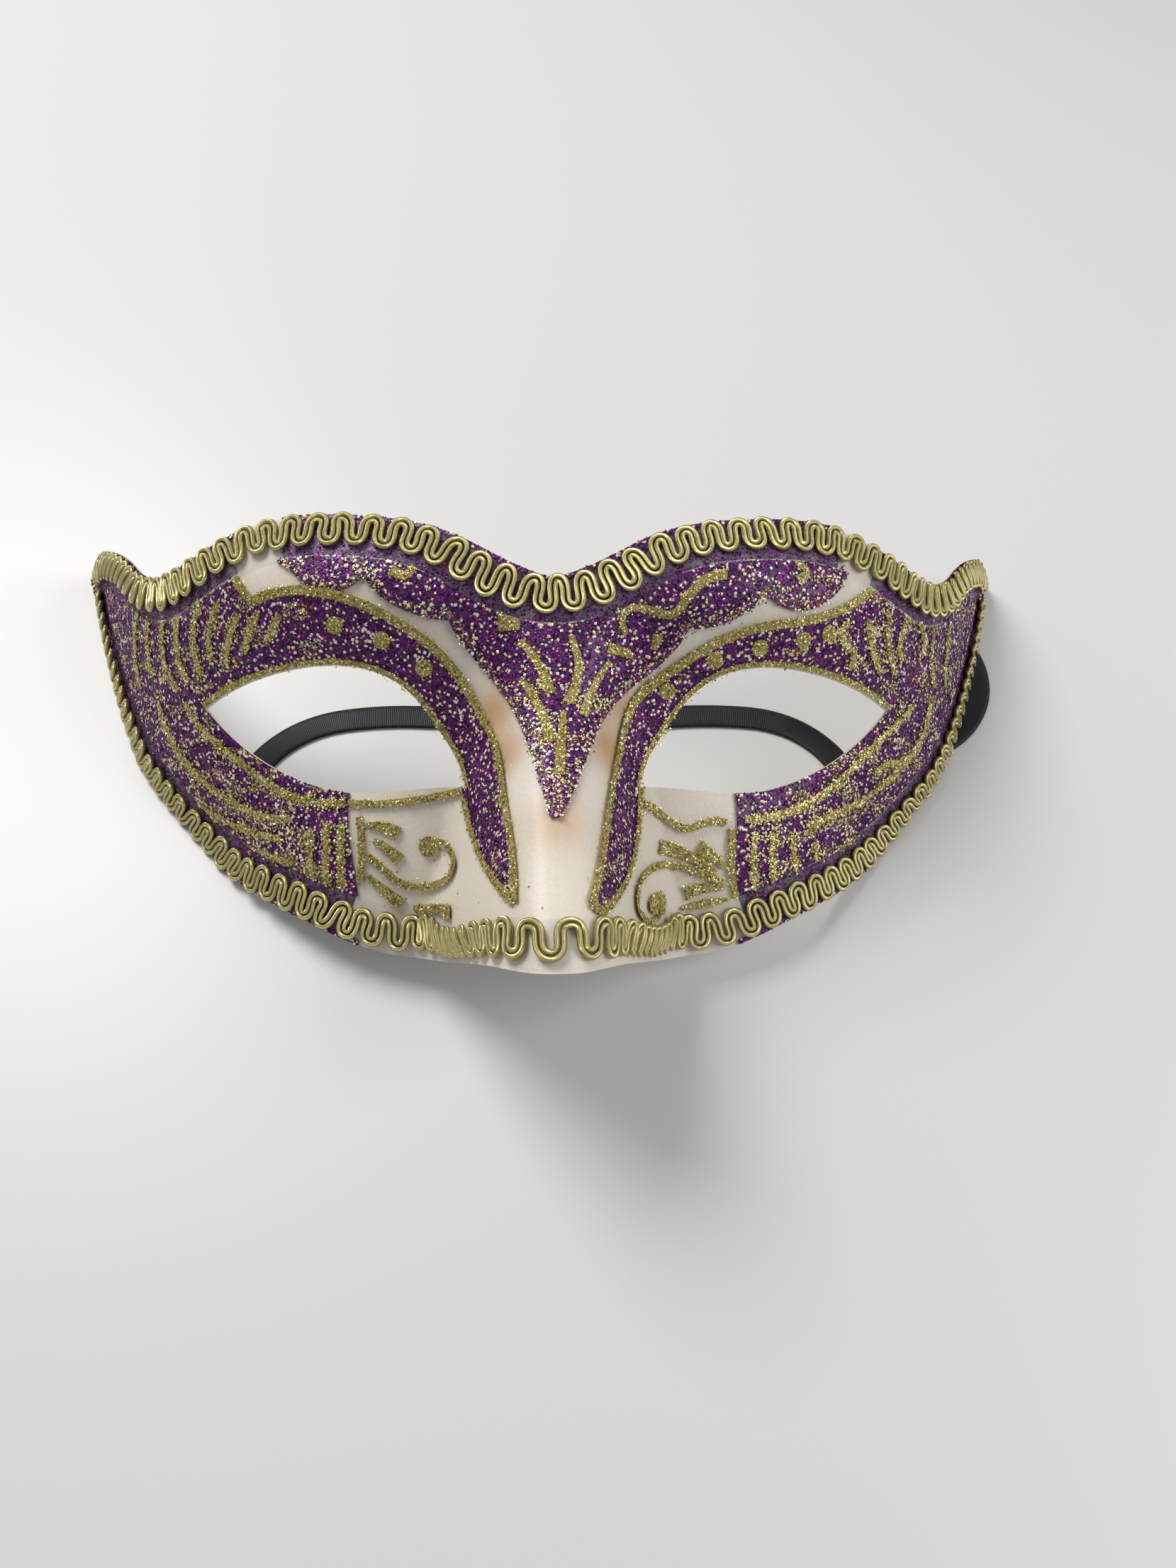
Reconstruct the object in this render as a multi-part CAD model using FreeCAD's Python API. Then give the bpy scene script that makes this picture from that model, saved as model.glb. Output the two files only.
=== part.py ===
import FreeCAD, Part
import math
import os

# A masquerade half mask, lying face up on its side edges.
# A thin moulded shell carries raised glitter painting, two lengths of braid glued
# along its edges on a clear film, and a ribbon glued inside each temple.
# Face coordinates: x across, y up the face, z out of the face. A point of the
# design is (hundredths of HALF_WIDTH across, millimetres up). The finished face
# leans back by REST_TILT about X and then stands on Z = 0.

# Shell
HALF_WIDTH = 90.0
WALL = 1.2
REST_TILT = 33.0
CROWN_DEPTH = 30.5
FACE_LEAN = 0.16
CHEEK_DROP = 22.8
TEMPLE_DROP = 41.2
TUCK_DEPTH = 4.0
TUCK_ACROSS = (34.0, 58.0)
TUCK_UP = (6.0, -12.0)
FOREHEAD_START = 28.0
FOREHEAD_BACK = 5.0
FOREHEAD_RUN = 15.0
EDGE_LIFT = 1.5
EDGE_LIFT_SPAN = (4.0, 40.0)

# Nose: shares of the full height and half breadth at places up the face
NOSE_HEIGHT = 33.4
NOSE_HALF_BREADTH = 22.0
NOSE_FULLNESS = 1.225
NOSE_RISE = [(-40, 1.12), (-24.5, 1.0), (-10, 0.69), (0, 0.464), (10, 0.266), (20, 0.138), (30, 0.048), (42, 0)]
NOSE_SPREAD = [(-40, 1.07), (-24.5, 1.0), (-10, 0.84), (0, 0.75), (10, 0.68), (20, 0.68), (30, 0.77), (42, 0.91)]

# Soft swells of the face: height, place across, place up, reach across, reach up
BROW_SWELL = (3.0, 31.0, 29.0, 22.0, 9.0)
EYE_HOLLOW = (-3.5, 36.0, 7.0, 18.0, 11.0)

# Eye holes, alike on both sides
EYE_INNER = 13.4
EYE_WIDTH = 43.9
EYE_FOOT = -1.3
EYE_HEIGHT = 19.9
EYE_TOP_CURVE = [(0, 0.04), (0.03, 0.24), (0.1, 0.5), (0.19, 0.76), (0.32, 0.94),
                 (0.49, 1.0), (0.68, 0.96), (0.86, 0.85), (1.0, 0.7)]
EYE_FOOT_CURVE = [(1.0, 0.7), (0.9, 0.47), (0.76, 0.24), (0.6, 0.08), (0.45, 0.0), (0.25, 0.01), (0, 0.04)]

# Edge of the right half of the shell: top edge from the middle to the horn, then the lower rim
TOP_EDGE = [(0, 31.0), (4.4, 32.3), (9.5, 34.5), (16.7, 38.0), (24.4, 40.2), (33.3, 41.4), (42.2, 41.9),
            (51, 41.3), (59, 39.0), (66.7, 36.2), (72.8, 34.8), (78.3, 36.3), (83.3, 39.9), (89, 42.7),
            (94.5, 43.9), (98.4, 42.4), (101.0, 38.6), (104, 32.0)]
LOWER_RIM = [(104, 12.0), (86, 0.5), (72, -8.0), (60, -16.0), (44.4, -22.2), (31, -26.8), (19, -27.3),
             (10, -25.0), (4.5, -24.8), (0, -24.8)]

# Glitter painting
GLITTER_THICKNESS = 0.4
GOLD_THICKNESS = 0.6
LINE_WIDTH = 1.5
FINE_LINE = 0.9
STROKE_WIDTH = 1.1
DOT_RADIUS = 1.3

# Braid and the clear film under it
BRAID_WIDTH = 6.0
BRAID_THICKNESS = 1.5
BRAID_INSET = 0.7
FILM_WIDTH = 7.0
FILM_THICKNESS = 0.3

# Ribbons: flat black ties, each held by a pad of glue inside a temple
RIBBON_WIDTH = 5.0
RIBBON_THICKNESS = 0.4
PAD_RADIUS = 4.2
PAD_THICKNESS = 1.8
PAD_PLACE = (76.5, 6.0)
ARC_SHARE = 0.45

# Ribbon routes on the rest plane. Each ribbon leaves its glue pad above the plane, in line with the first run.
# The right one shows for a moment outside the mask.
EXIT_HEIGHT = 6.0
EXIT_REACH = 6.4
RIGHT_ROUTE = [(71.4, 9.2), (79.0, 14.3), (84.0, 23.1), (83.8, 33.2), (77.2, 41.8), (67.0, 46.6),
               (53.0, 49.4), (34.0, 50.9), (14.9, 49.7), (4.9, 40.1), (4.9, 25.9), (14.9, 15.9), (30.0, 17.4),
               (45.1, 15.9), (55.1, 5.9), (55.1, -8.3), (45.1, -18.3), (30.8, -19.6), (17.8, -23.8)]
LEFT_ROUTE = [(-69.0, 13.6), (-72.4, 23.0), (-70.6, 33.2), (-63.0, 41.5), (-50.0, 47.2),
              (-33.0, 51.2), (-14.9, 50.6), (-4.7, 40.4), (-4.9, 26.2), (-15.1, 16.0), (-30.4, 17.0),
              (-45.3, 14.4), (-54.9, 3.9), (-54.3, -10.4), (-43.9, -20.2), (-29.7, -21.6), (-16.9, -26.0)]

# Skins sit just clear of the shell, and stop a little above the rest plane so that the shell alone stands on it
SKIN_SEAT = 0.05
SKIN_LIFT = 0.4

# Working grid of the curved surfaces
GRID_COLUMNS = 46
GRID_ROWS = 19
GRID_ACROSS = 100.0
GRID_FOOT = -34.0
GRID_TOP = 50.0
FAR = 150.0

Vector = FreeCAD.Vector


def through(stations, at):
    """Value at one place on smooth cubic pieces through (place, value) stations."""
    places = [place for place, value in stations]
    values = [value for place, value in stations]
    rates = [(values[i + 1] - values[i]) / (places[i + 1] - places[i]) for i in range(len(places) - 1)]
    slopes = [rates[0]] + [(rates[i] + rates[i + 1]) / 2 for i in range(len(rates) - 1)] + [rates[-1]]
    at = min(max(at, places[0]), places[-1])
    piece = 0
    while piece < len(places) - 2 and at > places[piece + 1]:
        piece += 1
    span = places[piece + 1] - places[piece]
    t = (at - places[piece]) / span
    start = (2 * t ** 3 - 3 * t ** 2 + 1) * values[piece] + (t ** 3 - 2 * t ** 2 + t) * span * slopes[piece]
    end = (3 * t ** 2 - 2 * t ** 3) * values[piece + 1] + (t ** 3 - t ** 2) * span * slopes[piece + 1]
    return start + end


def ease(first, last, at):
    """Smooth step from 0 at the first place to 1 at the last."""
    t = min(max((at - first) / (last - first), 0), 1)
    return t * t * (3 - 2 * t)


def swell(form, side, y):
    """A soft round rise or hollow, alike on both sides of the face."""
    height, across, up, reach_across, reach_up = form
    return height * math.exp(-((side - across) / reach_across) ** 2 - ((y - up) / reach_up) ** 2)


def face_depth(x, y):
    """Height of the shell's outer face at one place: a wrapped face, a nose, brows and eye hollows."""
    side = abs(x)
    share = side / HALF_WIDTH
    depth = CROWN_DEPTH + FACE_LEAN * y - CHEEK_DROP * share ** 2 - TEMPLE_DROP * share ** 4
    breadth = NOSE_HALF_BREADTH * through(NOSE_SPREAD, y)
    crest = min(side / breadth, 1) ** NOSE_FULLNESS
    depth += NOSE_HEIGHT * through(NOSE_RISE, y) * math.cos(math.pi / 2 * crest) ** 2
    depth += swell(BROW_SWELL, side, y) + swell(EYE_HOLLOW, side, y)
    depth -= FOREHEAD_BACK * (max(y - FOREHEAD_START, 0) / FOREHEAD_RUN) ** 2 * max(1 - share ** 2, 0)
    depth -= TUCK_DEPTH * ease(*TUCK_ACROSS, side) * ease(*TUCK_UP, y)
    return depth


def face_slope(x, y):
    """Slopes of the outer face across and up."""
    step = 0.05
    across = (face_depth(x + step, y) - face_depth(x - step, y)) / (2 * step)
    up = (face_depth(x, y + step) - face_depth(x, y - step)) / (2 * step)
    return across, up


def face_point(x, y, lift):
    """A point at a distance from the outer face, along the face's normal."""
    across, up = face_slope(x, y)
    normal = Vector(-across, -up, 1).normalize()
    return Vector(x, y, face_depth(x, y)) + normal * lift


def lifted_depth(x, y, lift):
    """Depth, straight over one place, of the surface at a distance from the outer face."""
    foot_x, foot_y = x, y
    for _ in range(4):
        point = face_point(foot_x, foot_y, lift)
        foot_x += x - point.x
        foot_y += y - point.y
    return point.z


def face_surface(lift):
    """Smooth surface at a distance from the outer face, through depths on an even grid."""
    step_x = 2 * GRID_ACROSS / GRID_COLUMNS
    step_y = (GRID_TOP - GRID_FOOT) / GRID_ROWS
    depths = [[lifted_depth(-GRID_ACROSS + i * step_x, GRID_FOOT + j * step_y, lift) for j in range(GRID_ROWS + 1)]
              for i in range(GRID_COLUMNS + 1)]
    surface = Part.BSplineSurface()
    surface.interpolate(depths, -GRID_ACROSS, step_x, GRID_FOOT, step_y)
    return surface.toShape()


def slab(low, high):
    """Solid sheet between two surfaces that follow the face."""
    under, over = face_surface(low), face_surface(high)
    sides = [Part.makeRuledSurface(a, b) for a, b in zip(under.Edges, over.Edges)]
    skin = Part.makeShell([under, over] + sides)
    skin.sewShape()
    sheet = Part.makeSolid(skin)
    if sheet.Volume < 0:
        sheet.reverse()
    return sheet


def placed(points):
    """Design points turned into millimetres in the face plane."""
    return [Vector(HALF_WIDTH * across / 100, up, 0) for across, up in points]


def mirrored(points):
    return [(-across, up) for across, up in points]


def curve_through(points):
    """A straight edge through two points, or one smooth edge through more."""
    if len(points) == 2:
        return Part.LineSegment(points[0], points[1]).toShape()
    curve = Part.BSplineCurve()
    curve.interpolate(points)
    return curve.toShape()


def split_evenly(edge, pieces):
    """Edges that follow each other along one smooth edge."""
    first, last = edge.ParameterRange
    ends = [first + (last - first) * i / pieces for i in range(pieces + 1)]
    parts = []
    for start, end in zip(ends, ends[1:]):
        curve = edge.Curve.copy()
        curve.segment(start, end)
        parts.append(curve.toShape())
    return parts


def region(stretches, pieces=1):
    """Flat face inside stretches that follow each other, each straight or smooth. Smooth ones may be in pieces."""
    edges = []
    for stretch in stretches:
        edge = curve_through(stretch)
        edges += split_evenly(edge, pieces) if pieces > 1 and len(stretch) > 2 else [edge]
    return Part.Face(Part.Wire(edges))


def sampled(points, samples):
    """Points and directions along the smooth curve through the given points."""
    edge = curve_through(points)
    first, last = edge.ParameterRange
    params = [first + (last - first) * i / (samples - 1) for i in range(samples)]
    return [(edge.valueAt(p), edge.tangentAt(p)) for p in params]


def sidestep(point, direction, distance):
    """Move across a path by a distance measured on the curved face."""
    sideways = Vector(-direction.y, direction.x, 0).normalize()
    across, up = face_slope(point.x, point.y)
    stretch = math.sqrt(1 + (across * sideways.x + up * sideways.y) ** 2)
    half_way = point + sideways * (distance / stretch / 2)
    across, up = face_slope(half_way.x, half_way.y)
    stretch = math.sqrt(1 + (across * sideways.x + up * sideways.y) ** 2)
    return point + sideways * (distance / stretch)


def stroke(points, width, tail_width=None, samples_per_span=3, pieces=1):
    """Flat face of a painted stroke: full width at its end, and its tail width at its start."""
    tail_width = width if tail_width is None else tail_width
    samples = samples_per_span * (len(points) - 1) + 1
    left, right = [], []
    for i, (point, direction) in enumerate(sampled(points, samples)):
        half = (tail_width + (width - tail_width) * i / (samples - 1)) / 2
        left.append(sidestep(point, direction, half))
        right.append(sidestep(point, direction, -half))
    right.reverse()
    return region([left, [left[-1], right[0]], right, [right[-1], left[0]]], pieces)


def dot(centre, radius):
    return Part.Face(Part.Wire([Part.Circle(centre, Vector(0, 0, 1), radius).toShape()]))


def joined(faces):
    """One flat shape from faces that may overlap."""
    if len(faces) == 1:
        return faces[0]
    return faces[0].multiFuse(faces[1:]).removeSplitter()


def eye_point(side, share):
    across, up = share
    return Vector(side * (EYE_INNER + EYE_WIDTH * across), EYE_FOOT + EYE_HEIGHT * up, 0)


def eye_curves(side):
    """Upper and lower edge of one eye hole."""
    return [[eye_point(side, share) for share in curve] for curve in (EYE_TOP_CURVE, EYE_FOOT_CURVE)]


def shell_outline():
    """Outline of the whole shell in the face plane, past the side edges that the rest plane trims."""
    right_top, right_rim = placed(TOP_EDGE), placed(LOWER_RIM)
    left_top, left_rim = placed(mirrored(TOP_EDGE)), placed(mirrored(LOWER_RIM))
    return region([
        right_top, [right_top[-1], right_rim[0]], right_rim,
        left_rim[::-1], [left_rim[0], left_top[-1]], left_top[::-1],
    ])


def rest_height(x, y):
    tilt = math.radians(REST_TILT)
    return y * math.sin(tilt) + face_depth(x, y) * math.cos(tilt)


def side_edge_across(y):
    """Where the outer face meets the plane that the mask rests on, at one height up the face."""
    near, far = 0.5 * HALF_WIDTH, GRID_ACROSS
    for _ in range(40):
        middle = (near + far) / 2
        if rest_height(middle, y) > 0:
            near = middle
        else:
            far = middle
    return near


def inset_path(points, distance, samples):
    return [sidestep(point, direction, distance) for point, direction in sampled(points, samples)]


# Braid paths, one on each half, run past the middle so that the halves meet there, with edges in short pieces
UPPER_PATH_ENDS = (-3.0, 99.0)
BAND_PIECES = 8
SIDE_STATIONS = (44.0, 38.0, 31.0, 24.0, 17.0, 10.0, 3.0, -4.0)


def upper_braid_path():
    """Middle line of the upper braid on the right half, from past the middle to the horn."""
    start, end = UPPER_PATH_ENDS
    edge = [(start, TOP_EDGE[0][1] + 0.7)] + [point for point in TOP_EDGE[1:] if point[0] <= end]
    return inset_path(placed(edge), -(BRAID_INSET + FILM_WIDTH / 2), 3 * len(edge))


def lower_braid_path():
    """Middle line of the lower braid on the right half, from the horn down the side to past the middle."""
    side = [Vector(side_edge_across(y), y, 0) for y in SIDE_STATIONS]
    rim = placed([point for point in LOWER_RIM if point[0] < 62] + [(-4.0, LOWER_RIM[-1][1])])
    return inset_path(side + rim, -(BRAID_INSET + FILM_WIDTH / 2), 3 * len(side + rim))


def mirror_points(points):
    return [Vector(-point.x, point.y, 0) for point in points]


def half_plane(side):
    """Square that covers one side of the face."""
    plane = Part.makePlane(FAR, 2 * FAR, Vector(0, -FAR, 0))
    if side < 0:
        plane.translate(Vector(-FAR, 0, 0))
    return plane


def braid_band(path, width):
    """Flat band along the path on both halves, mitred on the middle line."""
    halves = []
    for side in (1, -1):
        points = path if side > 0 else mirror_points(path)
        halves.append(stroke(points, width, samples_per_span=1, pieces=BAND_PIECES).common(half_plane(side)))
    return joined([face for half in halves for face in half.Faces])


# Painted panels: the purple brow panel, and a purple panel round each eye
BROW_PANEL = [
    [(-47, 49), (-47, 35)],
    [(-47, 35), (-44, 33.2), (-41, 30.9), (-38, 30), (-34, 30.6), (-32, 33.6)],
    [(-32, 33.6), (-29, 29.4), (-23, 26.3), (-17, 25.5)],
    [(-17, 25.5), (-15, 22.1), (-10.2, 16.7), (-5, 9.3), (-2.6, 3.6), (0, -4.3)],
    [(0, -4.3), (2.1, -0.9), (5.4, 5.8), (10.8, 13.5), (18, 19), (22.6, 24.6)],
    [(22.6, 24.6), (28, 25), (32, 26.7), (37, 30)],
    [(37, 30), (39, 28.5), (44, 27.9), (48, 29.6), (52, 34.4)],
    [(52, 34.4), (52, 49)],
    [(52, 49), (-47, 49)],
]
LEFT_EYE_PANEL = [
    [(-56, 49), (-56, 33.4)],
    [(-56, 33.4), (-54, 30.4), (-52, 28.5)],
    [(-52, 28.5), (-47, 29.5), (-42, 29.5), (-35, 28.1), (-27, 24.9), (-18, 18.7), (-12.7, 11.4), (-9.5, 5.2),
     (-8.3, -1.1), (-7, -7.8), (-6.4, -15.8)],
    [(-6.4, -15.8), (-10.8, -12.2), (-14, -6.4), (-15.2, -2.2), (-15.2, 1.5)],
    [(-15.2, 1.5), (-35, 1.5)],
    [(-35, 1.5), (-36, -6.3), (-35, -13.6), (-36, -30)],
    [(-36, -30), (-110, -30)],
    [(-110, -30), (-110, 49)],
    [(-110, 49), (-56, 49)],
]
RIGHT_EYE_PANEL = [
    [(59, 49), (59, 32.4)],
    [(59, 32.4), (54, 29.1), (45, 25.8), (36, 24.3), (28, 21.7), (20, 17.2), (14, 12.5), (11.7, 6.7),
     (9.4, -1.9), (7.5, -10.1), (5.6, -16)],
    [(5.6, -16), (7.3, -17.2), (9.2, -16.3)],
    [(9.2, -16.3), (12.3, -13.1), (14.6, -6.6), (15.2, -0.6), (15.2, 1.5)],
    [(15.2, 1.5), (32, 1.5)],
    [(32, 1.5), (33, -5.1), (33, -14.1), (35, -30)],
    [(35, -30), (110, -30)],
    [(110, -30), (110, 49)],
    [(110, 49), (59, 49)],
]

# Gold lines of the painting: each stroke is drawn along its points
LEFT_PANEL_EDGE = [LEFT_EYE_PANEL[1], LEFT_EYE_PANEL[2], LEFT_EYE_PANEL[3][:-1]]
RIGHT_PANEL_EDGE = [RIGHT_EYE_PANEL[1], RIGHT_EYE_PANEL[2], RIGHT_EYE_PANEL[3][:-1]]
LEFT_CHEEK_LINES = [
    [(-68, 13.6), (-63, 7.9), (-56, 3.1), (-49, -1.1), (-44, -2.6), (-36.5, -2.9)],
    [(-75, 14), (-73, 9), (-68, 2.8), (-62, -1.4), (-55, -4.6), (-47, -5.6)],
    [(-71, -0.5), (-63, -5.4), (-56, -7.8), (-49, -8.9)],
    [(-65, -6.4), (-59, -9.7), (-52, -11.9), (-46.5, -12.8)],
    [(-60, -11.6), (-52, -14.9), (-45.5, -16.6)],
    [(-43, -7.3), (-43.2, -11.2), (-42.4, -17.4)],
    [(-40, -6.6), (-40.2, -18.2)],
    [(-37.2, -6.2), (-37.5, -19)],
]
RIGHT_CHEEK_LINES = [
    [(70, 13.8), (66, 10.3), (60, 5.9), (55, 1.6), (51, -1.1), (44, -4.2), (34.5, -5.7)],
    [(75, 15.2), (73, 8.4), (67, 2.3), (60, -2.2), (53, -5.0), (47, -7)],
    [(72, 0.5), (68, -3.4), (63, -7.3), (58, -9.5), (53, -12)],
    [(62, -11.5), (57, -13.6), (51, -15.6)],
    [(36.5, -8), (36.2, -12.3), (37.3, -19)],
    [(40, -7.9), (39.8, -12.4), (40.6, -18.2)],
    [(44, -8.4), (44.6, -13.5), (45.8, -17)],
    [(48.6, -9.6), (49.8, -14.6)],
    [(68.5, 3.4), (65, 3.6), (61.5, 2)],
]
LEFT_TEMPLE_STROKES = [
    [(-80, 30.2), (-81.5, 24.2), (-80.5, 17.4)],
    [(-76, 30), (-77.4, 24.6), (-76.2, 18.6)],
    [(-72, 29.8), (-73, 25.2), (-72, 18.8), (-69.6, 15.8)],
    [(-67.4, 30), (-69, 25.8), (-68.8, 20.6), (-67, 17)],
    [(-63, 29.2), (-65, 24.9), (-65, 21.4), (-64, 18.2)],
    [(-59, 28.9), (-61.4, 24.6), (-61.4, 20.1)],
    [(-55, 26.7), (-57.4, 22.8), (-58.4, 19.4)],
    [(-51, 26.6), (-53.2, 23.6), (-54.4, 20.7)],
    [(-46.8, 26.2), (-49.4, 22.4)],
]
RIGHT_TEMPLE_STROKES = [
    [(53, 25.8), (51.4, 23.6), (54.6, 21.2), (54, 19)],
    [(57.4, 26.6), (58.6, 22.5), (61.2, 18.6)],
    [(62, 28.4), (62.4, 23.4), (65, 18.4)],
    [(66, 21.6), (66, 26.3), (68.6, 28.4), (71, 26.9), (70.8, 22)],
    [(75, 27.8), (74.8, 21.4), (76, 17.4)],
    [(80.4, 29), (79.6, 23.6), (80, 18)],
]
BROW_FLAMES = [
    [(-5.6, 21.4), (-2.6, 18), (-0.6, 13.4)],
    [(2.9, 22), (4.1, 17), (2.4, 12.2)],
    [(-5.4, 15.6), (-2.4, 11.4), (-0.6, 6.2)],
    [(1.6, 10.8), (1.1, 5.8), (0.8, 1.4)],
    [(9.5, 18.6), (6.9, 14.8), (4.9, 10.2)],
    [(13.6, 19.6), (9.2, 20.6)],
    [(12.2, 22.6), (12.6, 26.4), (16.4, 26.4), (20, 25.8), (23, 28.8), (26, 31.2), (29.4, 31.9)],
    [(17.2, 20.6), (17.8, 22.8)],
    [(-23, 33.6), (-24.6, 31.4), (-27, 32.2)],
    [(-14, 29.4), (-11.4, 28.2), (-8, 27.8)],
    [(42, 34.6), (44, 33.4), (42.4, 31.6)],
]
LEFT_SCROLLS = [
    [(-34, -5.1), (-33.6, -10.6), (-34, -15.6)],
    [(-36, -2.9), (-30, -3.1), (-24, -2.5), (-19, -1.7), (-15.6, -0.9)],
    [(-32.6, -11.4), (-30, -13.2), (-27.6, -15.1), (-24, -16.2), (-20.6, -15.8), (-17.8, -14.1), (-17, -11.7),
     (-18, -9.9), (-20.4, -9.1)],
]
LEFT_SCROLL_LEAVES = [
    [(-32.6, -6.5), (-29.6, -6.8), (-27, -7.7)],
    [(-31.4, -8.9), (-29, -10.2), (-26.8, -12)],
    [(-32.6, -14.7), (-29.6, -16.8), (-26.6, -19.2)],
    [(-24.4, -19.7), (-17.5, -19.5)],
]
RIGHT_SCROLLS = [
    [(32.2, -7.2), (32, -12.2), (33.6, -19.8)],
    [(15.9, -2.9), (19, -4.7), (23.5, -7), (27, -6.2), (31, -6.2)],
    [(30.4, -15.8), (27, -14.4), (23.4, -13.2), (20, -12.7), (16.4, -13.4), (14.4, -15), (13.8, -17.1),
     (14.6, -19.6), (17, -20.8), (19.4, -19.6)],
]
RIGHT_SCROLL_LEAVES = [
    [(29, -14.3), (24.6, -11.6), (19, -9.8)],
    [(30.6, -13.3), (28.6, -11.6), (26, -10)],
    [(30.6, -16.7), (27.4, -16.6), (23.6, -17.5)],
    [(31.4, -18.8), (27, -19.4), (23.4, -20.6)],
]
LEFT_DOTS = [(-37, 24.2), (-29, 21.9), (-22, 17.8)]
RIGHT_DOTS = [(19.8, 14.4), (28, 19.2), (36, 21.2), (44, 22.7), (49, 24)]
SQUARE_DOT = (-7.4, 24.6)
SQUARE_SIZE = 3.2


def strokes(lines, width, tail_width=None):
    return [stroke(placed(line), width, tail_width) for line in lines]


def scroll_group(lines, leaves, curl):
    """Scrolls of even width, leaves that swell to their tips, and the ball inside the curl."""
    faces = strokes(lines, STROKE_WIDTH) + strokes(leaves, 2 * STROKE_WIDTH, FINE_LINE)
    return faces + [dot(placed([curl])[0], 1.2 * DOT_RADIUS)]


def square(centre, size):
    corner = placed([centre])[0] - Vector(size / 2, size / 2, 0)
    return Part.makePlane(size, size, corner)


def gold_groups():
    """Flat faces of each gold piece, by node name, in the order in which they are painted."""
    left_eye, right_eye = eye_curves(-1), eye_curves(1)
    return {
        "gold_left_eye_edging": [stroke(left_eye[0], 2 * FINE_LINE)] + strokes(LEFT_PANEL_EDGE, LINE_WIDTH),
        "gold_right_eye_edging": [stroke(right_eye[0], 2 * FINE_LINE)] + strokes(RIGHT_PANEL_EDGE, LINE_WIDTH),
        "gold_brow_edging": strokes(BROW_PANEL[1:7], LINE_WIDTH),
        "gold_brow_flames": strokes(BROW_FLAMES, 1.5 * STROKE_WIDTH, FINE_LINE) + [square(SQUARE_DOT, SQUARE_SIZE)],
        "gold_left_scrolls": scroll_group(LEFT_SCROLLS, LEFT_SCROLL_LEAVES, (-21.6, -9.8)),
        "gold_right_scrolls": scroll_group(RIGHT_SCROLLS, RIGHT_SCROLL_LEAVES, (18, -18.4)),
        "gold_left_dots": [dot(centre, DOT_RADIUS) for centre in placed(LEFT_DOTS)],
        "gold_right_dots": [dot(centre, DOT_RADIUS) for centre in placed(RIGHT_DOTS)],
        "gold_left_temple_strokes": strokes(LEFT_TEMPLE_STROKES, STROKE_WIDTH),
        "gold_right_temple_strokes": strokes(RIGHT_TEMPLE_STROKES, STROKE_WIDTH),
        "gold_left_cheek_lines": strokes(LEFT_CHEEK_LINES, STROKE_WIDTH),
        "gold_right_cheek_lines": strokes(RIGHT_CHEEK_LINES, STROKE_WIDTH),
    }


def layer(flat, sheet):
    """The parts of a sheet that lie over a flat region."""
    blocks = []
    for face in flat.Faces:
        foot = face.copy()
        foot.translate(Vector(0, 0, -FAR / 2))
        blocks.append(foot.extrude(Vector(0, 0, FAR)))
    return Part.makeCompound(blocks).common(sheet).Solids


def rest_trim(lift):
    """Room under the mask: below a level plane, with a low arch along the middle of each side edge."""
    start, end = EDGE_LIFT_SPAN
    left, crown, right = Vector(0, start, 0), Vector(0, (start + end) / 2, EDGE_LIFT), Vector(0, end, 0)
    corners = [right, Vector(0, FAR, 0), Vector(0, FAR, -FAR), Vector(0, -FAR, -FAR), Vector(0, -FAR, 0), left]
    edges = [Part.Arc(left, crown, right).toShape()]
    edges += [Part.LineSegment(a, b).toShape() for a, b in zip(corners, corners[1:])]
    profile = Part.Face(Part.Wire(edges))
    profile.translate(Vector(-FAR, 0, lift))
    room = profile.extrude(Vector(2 * FAR, 0, 0))
    room.rotate(Vector(0, 0, 0), Vector(1, 0, 0), -REST_TILT)
    return room


def flat_pieces():
    """Every piece in the face plane, by node name, with the lower and upper surface it lies between."""
    eyes = [region(eye_curves(side)) for side in (1, -1)]
    shell = shell_outline().cut(eyes)
    upper_path, lower_path = upper_braid_path(), lower_braid_path()
    upper_film = braid_band(upper_path, FILM_WIDTH).common(shell)
    lower_film = braid_band(lower_path, FILM_WIDTH).common(shell).cut(upper_film)
    upper_braid = braid_band(upper_path, BRAID_WIDTH).common(shell)
    lower_braid = braid_band(lower_path, BRAID_WIDTH).common(shell).cut(upper_film)
    pieces = {
        "mask_shell": (shell, -WALL, 0),
        "upper_braid_glue_film": (upper_film, SKIN_SEAT, FILM_THICKNESS),
        "lower_braid_glue_film": (lower_film, SKIN_SEAT, FILM_THICKNESS),
        "upper_braid": (upper_braid, FILM_THICKNESS, FILM_THICKNESS + BRAID_THICKNESS),
        "lower_braid": (lower_braid, FILM_THICKNESS, FILM_THICKNESS + BRAID_THICKNESS),
    }
    taken = [upper_film, lower_film]
    for name, faces in gold_groups().items():
        flat = joined(faces).common(shell).cut(taken)
        pieces[name] = (flat, SKIN_SEAT, GOLD_THICKNESS)
        taken.append(flat)
    panels = {"brow": BROW_PANEL, "left_eye": LEFT_EYE_PANEL, "right_eye": RIGHT_EYE_PANEL}
    for name, stretches in panels.items():
        flat = region([placed(stretch) for stretch in stretches]).common(shell).cut(taken)
        pieces["purple_glitter_" + name] = (flat, SKIN_SEAT, GLITTER_THICKNESS)
        taken.append(flat)
    return pieces


def build_mask():
    """Solids of each node, trimmed where the mask rests and leaning back on that plane."""
    sheets = {}
    nodes = {}
    for name, (flat, low, high) in flat_pieces().items():
        if (low, high) not in sheets:
            lift = 0 if low < 0 else SKIN_LIFT
            sheets[low, high] = slab(low, high).cut(rest_trim(lift))
        nodes[name] = layer(flat, sheets[low, high])
        for solid in nodes[name]:
            solid.rotate(Vector(0, 0, 0), Vector(1, 0, 0), REST_TILT)
        print(name, len(nodes[name]), "solids,", round(sum(solid.Volume for solid in nodes[name]), 1), "mm3")
    return nodes


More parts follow.
